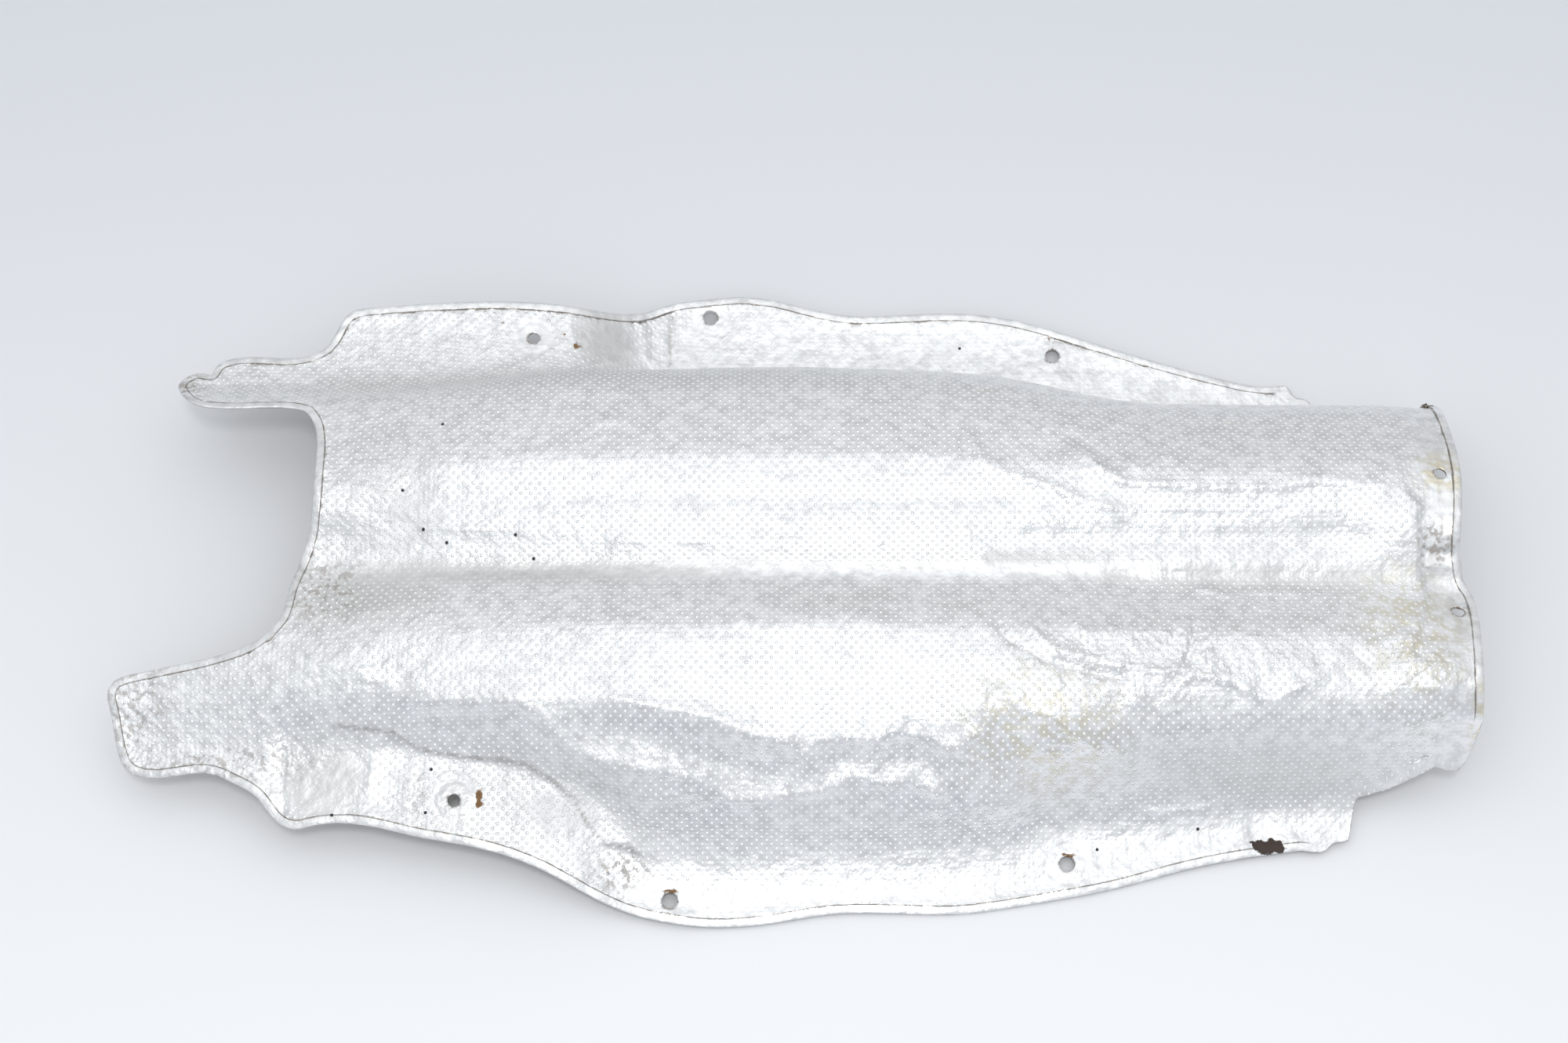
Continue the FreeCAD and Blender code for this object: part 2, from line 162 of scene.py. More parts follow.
CREASES: dict[str, Crease] = {
    "upper shoulder": Crease(((95, 4), (150, 4), (240, 4), (336, 4)), -3.0, 9.0, Profile.RIDGE),
    "wall foot": Crease(((-105, -136), (-67, -141), (-25, -142), (38, -141), (102, -136), (139, -130)
        ), 7.0, 17.0, Profile.RIDGE),
    "crest band": Crease(((-205, 28), (-20, 28), (60, 27), (150, 25)), -0.9, 6.0, Profile.RIDGE),
    "near fold": Crease(((-245, -95), (-214, -98), (-200, -106), (-176, -110), (-154, -112), (-141, -115),
        (-127, -123), (-117, -131), (-109, -143), (-102, -151), (-87, -154), (-80, -159), (-74, -169)
        ), -1.3, 1.6, Profile.STEP),
    "left facet top": Crease(((-214, -84), (-187, -86), (-145, -88), (-132, -95), (-119, -107),
        (-105, -112), (-94, -117), (-62, -120)), 3.0, 6.0),
    "left panel top": Crease(((-263, -67), (-246, -66), (-234, -70), (-218, -76)), 1.3, 4.0),
    "left panel side": Crease(((-216, -64), (-214, -78), (-215, -92)), 1.0, 2.4),
    "left panel foot": Crease(((-277, -85), (-274, -97), (-265, -103), (-256, -113)), -0.9, 2.4),
    "wall upper edge": Crease(((-116, -93), (-101, -88), (-66, -94), (-37, -99), (-22, -105), (1, -109),
        (7, -113), (14, -107), (29, -106), (46, -107), (53, -103), (75, -107), (85, -110), (100, -104),
        (106, -87), (101, -76)), 3.0, 5.5),
    "wall lower edge": Crease(((-120, -107), (-99, -113), (-66, -119), (-47, -122), (-33, -129),
        (-17, -129), (16, -126), (33, -120), (48, -123), (61, -122), (80, -126), (86, -123), (87, -110)
        ), 2.8, 4.5),
    "wall rib a": Crease(((-57, -110), (-50, -117)), 1.5, 3.0),
    "wall rib b": Crease(((8, -113), (6, -119), (0, -127)), 1.5, 3.0),
    "wall rib c": Crease(((47, -109), (44, -118), (48, -123)), 1.5, 3.0),
    "wall panel a": Crease(((-118, -102), (-84, -106), (-50, -112), (-22, -119), (10, -121)
        ), -2.2, 7.0, Profile.RIDGE),
    "wall panel b": Crease(((14, -116), (44, -114), (80, -117)), -1.8, 6.0, Profile.RIDGE),
    "wall lip": Crease(((-150, -104), (-120, -112), (-98, -122), (-70, -128), (-52, -126), (-40, -131)
        ), 2.2, 5.0),
    "lower fold": Crease(((117, -42), (130, -56), (144, -66), (159, -69), (178, -73), (194, -75),
        (206, -74), (216, -77), (232, -80), (248, -88), (255, -90), (263, -85), (284, -75)), 2.4, 2.4),
    "lower fold foot": Crease(((108, -45), (113, -57), (123, -63), (134, -69), (148, -73), (164, -77),
        (179, -79)), -1.95, 2.2),
    "short wrinkle a": Crease(((149, -46), (157, -56)), 1.35, 2.0),
    "short wrinkle b": Crease(((172, -47), (185, -66)), 1.35, 2.0),
    "short wrinkle c": Crease(((216, -49), (211, -63), (207, -72)), -1.65, 2.2),
    "short wrinkle d": Crease(((218, -57), (223, -73)), 1.35, 2.0),
    "short wrinkle e": Crease(((178, -77), (181, -88), (181, -95)), 1.35, 2.0),
    "valley arc a": Crease(((217, -21), (242, -29), (260, -41)), 1.35, 2.8),
    "valley arc b": Crease(((139, -35), (153, -28), (177, -23)), 1.35, 2.8),
    "valley arc c": Crease(((248, -24), (271, -26), (310, -28)), 1.35, 2.4),
    "wall streak a": Crease(((102, -82), (114, -90), (124, -96), (136, -98), (147, -105), (160, -111),
        (172, -118), (184, -122)), 1.35, 2.2),
    "wall streak b": Crease(((117, -104), (130, -111), (145, -120), (162, -128)), 1.2, 2.2),
    "wall streak c": Crease(((136, -73), (147, -92), (158, -104), (176, -113), (188, -122)), 1.35, 2.2),
    "wall streak d": Crease(((95, -113), (113, -125), (131, -136)), 1.05, 2.2),
    "wall streak e": Crease(((93, -122), (110, -133)), 1.05, 2.2),
    "near lip": Crease(((160, -129), (178, -131), (200, -133), (221, -131), (233, -127), (250, -126)
        ), 1.8, 2.8),
    "upper wrinkle": Crease(((95, 73), (105, 48), (112, 42), (125, 38), (142, 33), (158, 25), (175, 21),
        (192, 17)), 2.1, 2.4),
    "upper step": Crease(((148, 63), (164, 47), (180, 35), (202, 33), (227, 32), (253, 31), (270, 32),
        (287, 35), (304, 33), (321, 30), (334, 28)), 2.25, 2.6),
    "upper step foot": Crease(((175, 21), (192, 17), (217, 16), (252, 16), (277, 19)), -0.9, 2.4),
    "shear a": Crease(((148, 54), (162, 41)), 1.05, 1.8),
    "shear b": Crease(((152, 57), (170, 38)), 1.05, 1.8),
    "shear c": Crease(((158, 58), (176, 33)), 1.05, 1.8),
    "shear d": Crease(((163, 57), (184, 31)), 1.05, 1.8),
    "vee": Crease(((182, 49), (195, 41), (208, 52), (208, 64)), 1.2, 1.8),
    "far dent a": Crease(((140, 71), (163, 75)), 1.0, 2.8),
    "far dent b": Crease(((176, 75), (198, 77)), 1.0, 2.8),
    "far crease d": Crease(((225, 77), (209, 58)), 0.7, 2.0),
    "crest edge a": Crease(((140, 0), (143, 12), (139, 21)), 0.7, 2.2),
    "crest rib": Crease(((174, 21), (174, 0)), 0.7, 2.2),
    "crest edge b": Crease(((211, -4), (211, 12)), 0.7, 2.2),
    "end step": Crease(((344, 52), (338, 43), (334, 34), (338, 26), (343, 19), (341, 11), (343, -2),
        (343, -15), (345, -26), (338, -44), (333, -55), (328, -65), (330, -73), (332, -82)
        ), 2.25, 1.6, Profile.STEP),
    "end top line": Crease(((341, 89), (349, 79), (344, 52)), 0.9, 2.0),
    "end fold a": Crease(((342, -3), (368, -4)), -1.5, 2.0),
    "end fold b": Crease(((344, -9), (367, -10)), 1.5, 2.0),
    "end rib a": Crease(((328, -65), (339, -82), (351, -87)), 1.35, 2.0),
    "end rib b": Crease(((331, -73), (352, -73)), 1.35, 2.0),
    "end rib c": Crease(((334, -85), (352, -82)), 1.35, 2.0),
    "ridge line left": Crease(((-208, 14), (-175, 12), (-119, 9)), 0.9, 3.6),
    "ridge line right": Crease(((-106, 5), (-47, 3), (17, 3)), 0.8, 3.6),
    "left dip": Crease(((-241, -39), (-224, -37), (-207, -34)), 1.3, 3.4),
    "left bump": Crease(((-255, 39), (-228, 32), (-210, 21), (-206, 15)), 1.0, 3.0),
    "left spot": Crease(((-111, 73), (-96, 75)), 0.9, 3.0),
    "far crease a": Crease(((-91, 180), (-88, 160), (-86, 147)), 1.3, 3.0),
    "far crease b": Crease(((-71, 186), (-72, 172), (-73, 148)), -1.4, 2.2),
    "far crease c": Crease(((260, 126), (260, 139)), 0.7, 2.2),
    "far ramp top": Crease(((-134, 168), (-129, 153), (-121, 136)), 1.1, 5.0),
    "far corner line": Crease(((-260, 142), (-259, 118)), -0.7, 2.2),
    "near corner line": Crease(((-275, -88), (-274, -99), (-273, -123), (-271, -144)), -1.0, 2.2),
    "near shade line": Crease(((-222, -97), (-226, -124), (-223, -146)), 1.1, 6.0),
    "near pad edge": Crease(((-203, -112), (-206, -130), (-205, -150)), 0.9, 3.6),
    "tab fold": Crease(((-350, 115), (-321, 115), (-295, 117), (-268, 118)), -1.2, 3.0),
    "lower tab line": Crease(((-290, -65), (-286, -85), (-281, -119)), 0.8, 5.0),
    "near step a": Crease(((247, -127), (248, -154)), 1.0, 1.6, Profile.STEP),
    "near step b": Crease(((261, -127), (262, -152)), -0.9, 1.6, Profile.STEP),
}

# Creases whose dark line is painted shade, written into the seam attribute together with the hem's dark seam.
PAINTED_SHADE_CREASES: tuple[str, ...] = ("near fold", "far crease b")

CRUMPLES: dict[str, Crumple] = {
    "lower right": Crumple((190, -72), (95, 30), 1.7, 17),
    "right end": Crumple((318, -52), (42, 46), 1.3, 15),
    "upper right": Crumple((170, 40), (85, 24), 0.6, 17),
    "left crest": Crumple((-215, 32), (52, 42), 0.7, 24),
    "near wall": Crumple((30, -112), (130, 24), 1.8, 26),
    "left lower": Crumple((-235, -62), (62, 40), 0.6, 20),
    "middle crest": Crumple((60, -60), (120, 26), 0.4, 26),
}


@dataclass(frozen=True)
class Incline:
    """A side of an arch that lies flat between two lines in plan, with its near line pressed down, in mm."""

    near: tuple[Place, ...]
    far: tuple[Place, ...]
    drop: float
    share: float
    spread: float = 16.0
    fade: float = 45.0

    def flatten(self, places: np.ndarray, heights: np.ndarray, probe: "SheetProbe") -> np.ndarray:
        """Lays the sheet flat between the two lines.

        Args:
            places: Places in plan, in mm, one row each.
            heights: Height of the sheet at each place, in mm.
            probe: Feels for the solid's upper face.

        Returns:
            The new heights in mm.
        """
        x, y = places.T
        near_y = np.interp(x, *zip(*self.near))
        far_y = np.interp(x, *zip(*self.far))
        pressed = self.share * smooth_step(np.minimum(x - self.near[0][0], self.near[-1][0] - x) / self.fade)
        below = y < near_y
        result = heights - below * pressed * self.drop * np.exp(-((y - near_y) / self.spread) ** 2)
        for index in np.nonzero(~below & (y < far_y) & (pressed > 0))[0]:
            low = probe.height(x[index], near_y[index]) - self.drop
            high = probe.height(x[index], far_y[index])
            passed = (y[index] - near_y[index]) / (far_y[index] - near_y[index])
            result[index] += pressed[index] * (low + passed * (high - low) - heights[index])
        return result


INCLINES: dict[str, Incline] = {
    "upper arch": Incline(
        near=((-252, -9), (335, -9)),
        far=((-252, 44), (-107, 50), (65, 50), (150, 42), (335, 34)),
        drop=3.0, share=0.8),
    "lower arch": Incline(
        near=((-252, -70), (-204, -82), (-128, -88), (-74, -96), (-20, -107), (50, -107), (86, -98),
              (150, -84), (335, -82)),
        far=((-252, -56), (-172, -52), (-105, -50), (17, -50), (80, -52), (335, -56)),
        drop=4.0, share=0.65),
}


@dataclass(frozen=True)
class BoltHole:
    """A bolt hole: its centre in plan and its radius, in mm."""

    centre: Place
    radius: float


HOLES: dict[str, BoltHole] = {
    "far left": BoltHole((-151.53, 151.64), 3.4),
    "near left": BoltHole((-180.03, -132.86), 3.4),
    "far middle": BoltHole((-48.53, 181.14), 4.25),
    "near middle": BoltHole((-65.03, -180.36), 4.25),
    "far right": BoltHole((157.47, 156.14), 4.25),
    "near right": BoltHole((148.47, -159.86), 4.25),
    "upper end": BoltHole((355.97, 39.64), 3.5),
    "lower end": BoltHole((359.47, -36.86), 3.5),
}


@dataclass(frozen=True)
class TornEdge:
    """A stretch of edge that has lost its hem: lowest and highest corner in plan, in mm."""

    low: Place
    high: Place

    def holds(self, x: float, y: float) -> bool:
        """True if the place lies in the torn stretch."""
        return self.low[0] < x < self.high[0] and self.low[1] < y < self.high[1]


TORN_EDGES: tuple[TornEdge, ...] = (
    TornEdge((279, -160), (375, -97)),
    TornEdge((290, 108), (330, 142)),
)


class Stain(Enum):
    """What changes the finish of a patch, by the name of the attribute that carries it; the dull kind also
    paints shade.
    """

    GRIME = "grime"
    RUST = "rust"
    OIL = "oil"
    WARM = "warm"
    SMOOTH = "smooth"
    CRINKLE = "crinkle"
    HAMMER = "hammered"
    # Rougher, and darker as painted shade over valleys, wall feet and slopes that look grey.
    DULL_AND_SHADE = "dull"
    RISING = "rising_streaks"
    FALLING = "falling_streaks"


@dataclass(frozen=True)
class Patch:
    """A patch of changed finish: its kind, its centre and half lengths in plan, in mm, and its strength."""

    kind: Stain
    centre: Place
    reach: Place
    strength: float = 1.0

    def share(self, places: np.ndarray) -> np.ndarray:
        """Strength of the patch at each place.

        Args:
            places: Places in plan, in mm, one row each.

        Returns:
            Strengths from 0 to 1.
        """
        offset = (places - self.centre) / self.reach
        return self.strength * np.exp(-np.sum(offset ** 2, axis=1) ** 1.5)


PATCHES: dict[str, Patch] = {
    "oil smear": Patch(Stain.OIL, (258, -150), (10, 4.5)),
    "near left rust": Patch(Stain.RUST, (-167, -131), (1.8, 8), 0.8),
    "near middle rust": Patch(Stain.RUST, (-64, -175.5), (5, 2), 0.8),
    "near right rust": Patch(Stain.RUST, (149, -155), (5, 1.8), 0.7),
    "far right stain": Patch(Stain.RUST, (158, 167), (4, 3), 0.6),
    "far left rust": Patch(Stain.RUST, (-126, 148), (3, 3), 0.7),
    "far left spot": Patch(Stain.RUST, (-135, 155), (2.5, 2.5), 0.6),
    "far corner rust": Patch(Stain.RUST, (-170, 161), (2.5, 4), 0.5),
    "upper end pad": Patch(Stain.WARM, (356, 40), (14, 13)),
    "right end heat": Patch(Stain.WARM, (332, -52), (26, 40), 0.7),
    # A warm brown tint along the right rim.
    "right rim warm tint": Patch(Stain.WARM, (366, -95), (6, 16), 1.0),
    "wall streak heat": Patch(Stain.WARM, (132, -100), (42, 26), 0.7),
    "upper tab grime": Patch(Stain.GRIME, (-352, 112), (14, 14), 0.6),
    "lower tab grime": Patch(Stain.GRIME, (-356, -84), (20, 34), 0.4),
    "lower tab foot": Patch(Stain.GRIME, (-300, -112), (46, 10), 0.4),
    "left notch grime": Patch(Stain.GRIME, (-254, -22), (22, 22), 0.45),
    "near fold grime": Patch(Stain.GRIME, (-92, -166), (14, 10), 0.6),
    "end fold grime": Patch(Stain.GRIME, (350, 0), (12, 12), 0.6),
    "near left pad": Patch(Stain.GRIME, (-200, -130), (5, 14), 0.3),
    "end strip": Patch(Stain.SMOOTH, (358, 0), (16, 125)),
    "valley band": Patch(Stain.SMOOTH, (30, -12), (420, 7)),
    "near left flange": Patch(Stain.SMOOTH, (-248, -124), (30, 24)),
    "far ramp": Patch(Stain.SMOOTH, (-108, 158), (22, 24)),
    # Dull patches: a rougher finish, and a darker colour that is painted shade.
    "valley left dull shade": Patch(Stain.DULL_AND_SHADE, (-150, -10), (130, 9), 0.9),
    "valley middle dull shade": Patch(Stain.DULL_AND_SHADE, (60, -6), (130, 5), 0.8),
    "near left flange dull shade": Patch(Stain.DULL_AND_SHADE, (-145, -134), (60, 24), 0.5),
    "left crest dull shade": Patch(Stain.DULL_AND_SHADE, (-225, 20), (36, 40), 0.4),
    "valley right dull shade": Patch(Stain.DULL_AND_SHADE, (250, -15), (110, 8), 0.8),
    "near left dull shade": Patch(Stain.DULL_AND_SHADE, (-250, -122), (26, 22), 0.8),
    "far ramp dull shade": Patch(Stain.DULL_AND_SHADE, (-110, 158), (18, 22), 0.8),
    "near wall foot dull shade": Patch(Stain.DULL_AND_SHADE, (260, -118), (80, 12), 0.6),
    "far foot dull shade": Patch(Stain.DULL_AND_SHADE, (-120, 112), (180, 12), 0.6),
    "left notch dull shade": Patch(Stain.DULL_AND_SHADE, (-235, -26), (40, 20), 0.8),
    "lower right crinkle": Patch(Stain.CRINKLE, (195, -66), (95, 26)),
    "right end crinkle": Patch(Stain.CRINKLE, (336, -76), (22, 22), 0.9),
    "left crinkle": Patch(Stain.CRINKLE, (-262, -100), (40, 20), 0.6),
    "upper right crinkle": Patch(Stain.CRINKLE, (200, 34), (130, 22), 0.4),
    "near lip crinkle": Patch(Stain.CRINKLE, (190, -134), (40, 9), 0.7),
    "left crest hammer": Patch(Stain.HAMMER, (-205, 55), (80, 55)),
    "left slope hammer": Patch(Stain.HAMMER, (-150, -38), (120, 24)),
    "left foot hammer": Patch(Stain.HAMMER, (-240, -60), (60, 30)),
    "lower tab hammer": Patch(Stain.HAMMER, (-330, -90), (50, 40)),
    "upper tab hammer": Patch(Stain.HAMMER, (-310, 118), (60, 20)),
    "wall hammer": Patch(Stain.HAMMER, (30, -114), (90, 12), 0.7),
    "near left hammer": Patch(Stain.HAMMER, (-150, -134), (80, 26), 0.8),
    "near middle hammer": Patch(Stain.HAMMER, (40, -162), (120, 18), 0.6),
    "near right hammer": Patch(Stain.HAMMER, (220, -140), (80, 16), 0.6),
    "far left hammer": Patch(Stain.HAMMER, (-220, 142), (60, 34), 0.7),
    "far middle hammer": Patch(Stain.HAMMER, (0, 168), (80, 24), 0.7),
    "far right hammer": Patch(Stain.HAMMER, (180, 148), (110, 24), 0.6),
    "far left streaks": Patch(Stain.RISING, (-225, 142), (60, 34)),
    "far middle streaks": Patch(Stain.FALLING, (-8, 172), (40, 24), 0.6),
    "upper right shear": Patch(Stain.FALLING, (150, 56), (46, 26)),
    "lower wall shear": Patch(Stain.FALLING, (140, -108), (62, 30)),
    "near flange shear": Patch(Stain.RISING, (-140, -138), (40, 24), 0.9),
}

PINHOLES: tuple[Place, ...] = (
    (-195, 75), (-214, 33), (-151, 8), (-141, -4), (-202, 12), (-189, 5), (102, 162), (165, -152),
    (220, -141), (-193, -116), (-195, -139), (-245, -140),
)


@dataclass(frozen=True)
class HemRing:
    """One ring of the hem: share of its reach, drop in mm, and weight of the hem and of its dark seam."""

    share: float
    drop: float
    hem: float
    seam: float


HEM_RINGS: tuple[HemRing, ...] = (
    HemRing(0.05, 0.0, 0.0, 1.0),
    HemRing(0.11, 0.0, 0.9, 1.0),
    HemRing(0.22, 0.0, 1.0, 0.0),
    HemRing(0.55, 0.0, 1.0, 0.0),
    HemRing(0.88, 0.1, 1.0, 0.0),
    HemRing(1.0, 0.5, 1.0, 0.0),
)


def add_object(name: str, data: bpy.types.ID) -> bpy.types.Object:
    """Makes an object and links it to the scene.

    Args:
        name: The object's name.
        data: Its mesh, camera or light.

    Returns:
        The object.
    """
    thing = bpy.data.objects.new(name, data)
    bpy.context.scene.collection.objects.link(thing)
    return thing


def smooth_step(value: np.ndarray) -> np.ndarray:
    """Eases from 0 to 1 while the value goes from 0 to 1."""
    value = np.clip(value, 0, 1)
    return value * value * (3 - 2 * value)


class SheetProbe:
    """Feels for the upper face of the solid shield from above."""

    start_height: float = 200.0
    directions: int = 16
    hole_margin: float = 0.6
    coarse_steps: int = 12
    fine_steps: int = 8

    def __init__(self, node: bpy.types.Object) -> None:
        """Takes the solid's mesh.

        Args:
            node: The solid shield.
        """
        corners = [vertex.co.copy() for vertex in node.data.vertices]
        faces = [tuple(face.vertices) for face in node.data.polygons]
        self.tree = BVHTree.FromPolygons(corners, faces)
        step = 2 * math.pi / self.directions
        self.ring = [(math.cos(k * step), math.sin(k * step)) for k in range(self.directions)]

    def height(self, x: float, y: float) -> float | None:
        """Height of the upper face in mm, or None off the sheet."""
        hit = self.tree.ray_cast(Vector((x * MM, y * MM, self.start_height * MM)), DOWN)[0]
        return None if hit is None else hit.z / MM

    def on_sheet(self, x: float, y: float) -> bool:
        """Tells if a place is on the sheet or in one of its bolt holes.

        Args:
            x: Place along X, in mm.
            y: Place along Y, in mm.

        Returns:
            True on the sheet.
        """
        if self.height(x, y) is not None:
            return True
        return any(math.dist((x, y), hole.centre) < hole.radius + self.hole_margin for hole in HOLES.values())

    def clear(self, x: float, y: float, margin: float) -> bool:
        """True if a place lies at least a margin inside the outline."""
        return all(self.on_sheet(x + margin * dx, y + margin * dy) for dx, dy in self.ring)

    def edge_distance(self, start: Vector, way: Vector, limit: float) -> float:
        """Distance from a place to the outline.

        Args:
            start: A place on the sheet, in mm.
            way: Unit direction to look in.
            limit: Longest distance to look, in mm.

        Returns:
            The distance in mm.
        """
        low, high = 0.0, limit
        step = limit / self.coarse_steps
        for k in range(1, self.coarse_steps + 1):
            if not self.on_sheet(start.x + way.x * k * step, start.y + way.y * k * step):
                low, high = (k - 1) * step, k * step
                break
        else:
            return limit
        for _ in range(self.fine_steps):
            middle = (low + high) / 2
            if self.on_sheet(start.x + way.x * middle, start.y + way.y * middle):
                low = middle
            else:
                high = middle
        return low


@dataclass
class EmbossedSheet:
    """The shield's sheet: pressed form, hem, holes and the marks of use, with painted shade along two creases
    and in the dull patches.
    """

    cell: float = 3.3
    fine_width: float = 6.2
    fine_reach: float = 4.5
    thickness: float = 1.2
    half_round: float = 290.0
    hem_width: float = 5.0
    hem_limit: float = 9.0
    hem_rise: float = 0.9
    hem_tip: float = 0.95
    spike_passes: int = 3
    border_passes: int = 3
    slide_reach: float = 2.5
    slide_steps: int = 9
    fan_ways: int = 40
    way_passes: int = 3
    valley_y: float = -9.0
    smoothing: int = 6
    hole_patch: float = 13.0
    hole_cuts: int = 2
    rim_reach: float = 2.5
    rim_margin: float = 4.0
    rim_smoothing: int = 4
    washer_radius: float = 10.5
    washer_depth: float = 0.3
    washer_margin: float = 3.0
    wear_width: float = 1.6
    sway_size: float = 13.0
    sway_height: float = 0.16
    # Strength and width of the painted shade line along those creases.
    shade: float = 0.5
    shade_width: float = 0.8
    flange_emboss: float = 0.3
    flange_height: float = 6.0
    emboss_rise: float = 7.0

    def __post_init__(self) -> None:
        """Takes the solid shield's box and mesh."""
        self.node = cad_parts[SHIELD_NODE]
        self.low, self.high = (Vector(corner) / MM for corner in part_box(SHIELD_NODE))
        self.probe = SheetProbe(self.node)

    def sections(self, columns: int, rows: int) -> np.ndarray:
        """Places on the upper face, evenly spaced along X and round each section.

        Args:
            columns: Number of steps along X.
            rows: Number of steps round the section.

        Returns:
            Array of columns + 1 by rows + 1 places with x, y, z and the way round the section, in mm.
        """
        xs = np.linspace(self.low.x, self.high.x, columns + 1)
        ys = np.arange(self.low.y, self.high.y + 1, 1.0)
        heights = np.full((len(xs), len(ys)), np.nan)
        for i, x in enumerate(xs):
            for k, y in enumerate(ys):
                height = self.probe.height(x, y)
                if height is not None:
                    heights[i, k] = height
        middle = len(xs) // 2
        for i in list(range(middle, len(xs))) + list(range(middle - 1, -1, -1)):
            inner = i - 1 if i > middle else i + 1
            found = ~np.isnan(heights[i])
            if not found.any():
                heights[i] = heights[inner]
                continue
            filled = np.interp(ys, ys[found], heights[i, found])
            if i != middle:
                inside = (ys > ys[found][0]) & (ys < ys[found][-1]) & ~found
                filled[inside] = heights[inner, inside]
            heights[i] = filled
        start = int(np.argmin(np.abs(ys - self.valley_y)))
        table = np.zeros((columns + 1, rows + 1, 4))
        ways = (np.arange(rows + 1) - rows / 2) * self.cell
        for i, x in enumerate(xs):
            lengths = np.hypot(np.diff(ys), np.diff(heights[i]))
            round_way = np.concatenate(([0.0], np.cumsum(lengths)))
            round_way -= round_way[start]
            table[i, :, 0] = x
            table[i, :, 1] = np.interp(ways, round_way, ys)
            table[i, :, 2] = np.interp(ways, round_way, heights[i])
            table[i, :, 3] = ways
        return table

    def lay(self, shape: bmesh.types.BMesh) -> None:
        """Lays an even grid over the upper face.

        Args:
            shape: The empty mesh to fill.
        """
        columns = round((self.high.x - self.low.x) / self.cell)
        rows = 2 * round(self.half_round / self.cell)
        table = self.sections(columns, rows)
        bmesh.ops.create_grid(shape, x_segments=columns, y_segments=rows, size=0.5)
        self.along = shape.verts.layers.float.new("along")
        self.around = shape.verts.layers.float.new("around")
        for vertex in shape.verts:
            i = round((vertex.co.x + 0.5) * columns)
            j = round((vertex.co.y + 0.5) * rows)
            x, y, z, way = table[i, j]
            vertex[self.along] = x
            vertex[self.around] = way
            vertex.co = Vector((x, y, z))
        for _ in range(self.smoothing):
            bmesh.ops.smooth_vert(shape, verts=shape.verts, factor=0.5, use_axis_x=False, use_axis_y=True,
                                  use_axis_z=True)

    def refine(self, shape: bmesh.types.BMesh) -> None:
        """Halves the cells along the fine creases.

        Args:
            shape: The grid.
        """
        faces = [face for face in shape.faces if not self.hemmed(face)]
        centres = np.array([face.calc_center_median().xy for face in faces])
        nearest = np.full(len(faces), np.inf)
        for crease in CREASES.values():
            if crease.width < self.fine_width:
                nearest = np.minimum(nearest, crease.follow(centres)[0])
        edges = {edge for face, gap in zip(faces, nearest) if gap < self.fine_reach for edge in face.edges}
        bmesh.ops.subdivide_edges(shape, edges=list(edges), cuts=1, use_grid_fill=True)

    def trim(self, shape: bmesh.types.BMesh) -> None:
        """Cuts the grid back to the inner line of the hem.

        Args:
            shape: The grid.
        """
        outside = []
        for face in shape.faces:
            x, y, _ = face.calc_center_median()
            if not self.probe.on_sheet(x, y) or not self.probe.clear(x, y, self.hem_width):
                outside.append(face)
        bmesh.ops.delete(shape, geom=outside, context="FACES")
        loose = [vertex for vertex in shape.verts if not vertex.link_faces]
        bmesh.ops.delete(shape, geom=loose, context="VERTS")
        for _ in range(self.spike_passes):
            spikes = [face for face in shape.faces if sum(edge.is_boundary for edge in face.edges) >= 3]
            bmesh.ops.delete(shape, geom=spikes, context="FACES")
        for vertex in [vertex for vertex in shape.verts if vertex.is_boundary]:
            inner = self.inner_middle(vertex)
            way = Vector((vertex.co.x - inner.x, vertex.co.y - inner.y, 0))
            if way.length < 0.05:
                continue
            self.slide_to_hem(vertex, way.normalized())
        for _ in range(self.border_passes):
            self.relax_border(shape)

    def inner_middle(self, vertex: bmesh.types.BMVert) -> Vector:
        """Middle of the faces round a vertex."""
        middles = [face.calc_center_median() for face in vertex.link_faces]
        return sum(middles, Vector()) / len(middles)

    def relax_border(self, shape: bmesh.types.BMesh) -> None:
        """Spaces the border vertices evenly along the inner line of the hem.

        Args:
            shape: The trimmed sheet.
        """
        moves = {}
        for vertex in shape.verts:
            if not vertex.is_boundary:
                continue
            ends = [edge.other_vert(vertex).co for edge in vertex.link_edges if edge.is_boundary]
            if len(ends) != 2:
                continue
            chord = ends[1] - ends[0]
            way = Vector((chord.y, -chord.x, 0))
            if way.dot(vertex.co - self.inner_middle(vertex)) < 0:
                way.negate()
            move = (ends[0] + ends[1]) / 4 - vertex.co / 2
            moves[vertex] = Vector((move.x, move.y, 0)), way
        for vertex, (move, way) in moves.items():
            self.shift(vertex, move)
            if way.length > 0.01:
                self.slide_to_hem(vertex, way.normalized())

    def slide_to_hem(self, vertex: bmesh.types.BMVert, way: Vector) -> None:
        """Moves a border vertex until it lies on the inner line of the hem.

        Args:
            vertex: The border vertex.
            way: Unit direction in plan to move it along.
        """
        low, high = -self.slide_reach * self.cell, self.slide_reach * self.cell
        for _ in range(self.slide_steps):
            middle = (low + high) / 2
            place = vertex.co + way * middle
            if self.probe.clear(place.x, place.y, self.hem_width):
                low = middle
            else:
                high = middle
        self.shift(vertex, way * low)

    def shift(self, vertex: bmesh.types.BMVert, move: Vector) -> None:
        """Moves a vertex in plan and sets it back on the upper face, with its way along the sheet.

        Args:
            vertex: The vertex.
            move: How far to move it, in mm.
        """
        place = vertex.co + move
        height = self.probe.height(place.x, place.y)
        vertex[self.along] += move.x
        vertex[self.around] += move.y
        vertex.co = Vector((place.x, place.y, vertex.co.z if height is None else height))

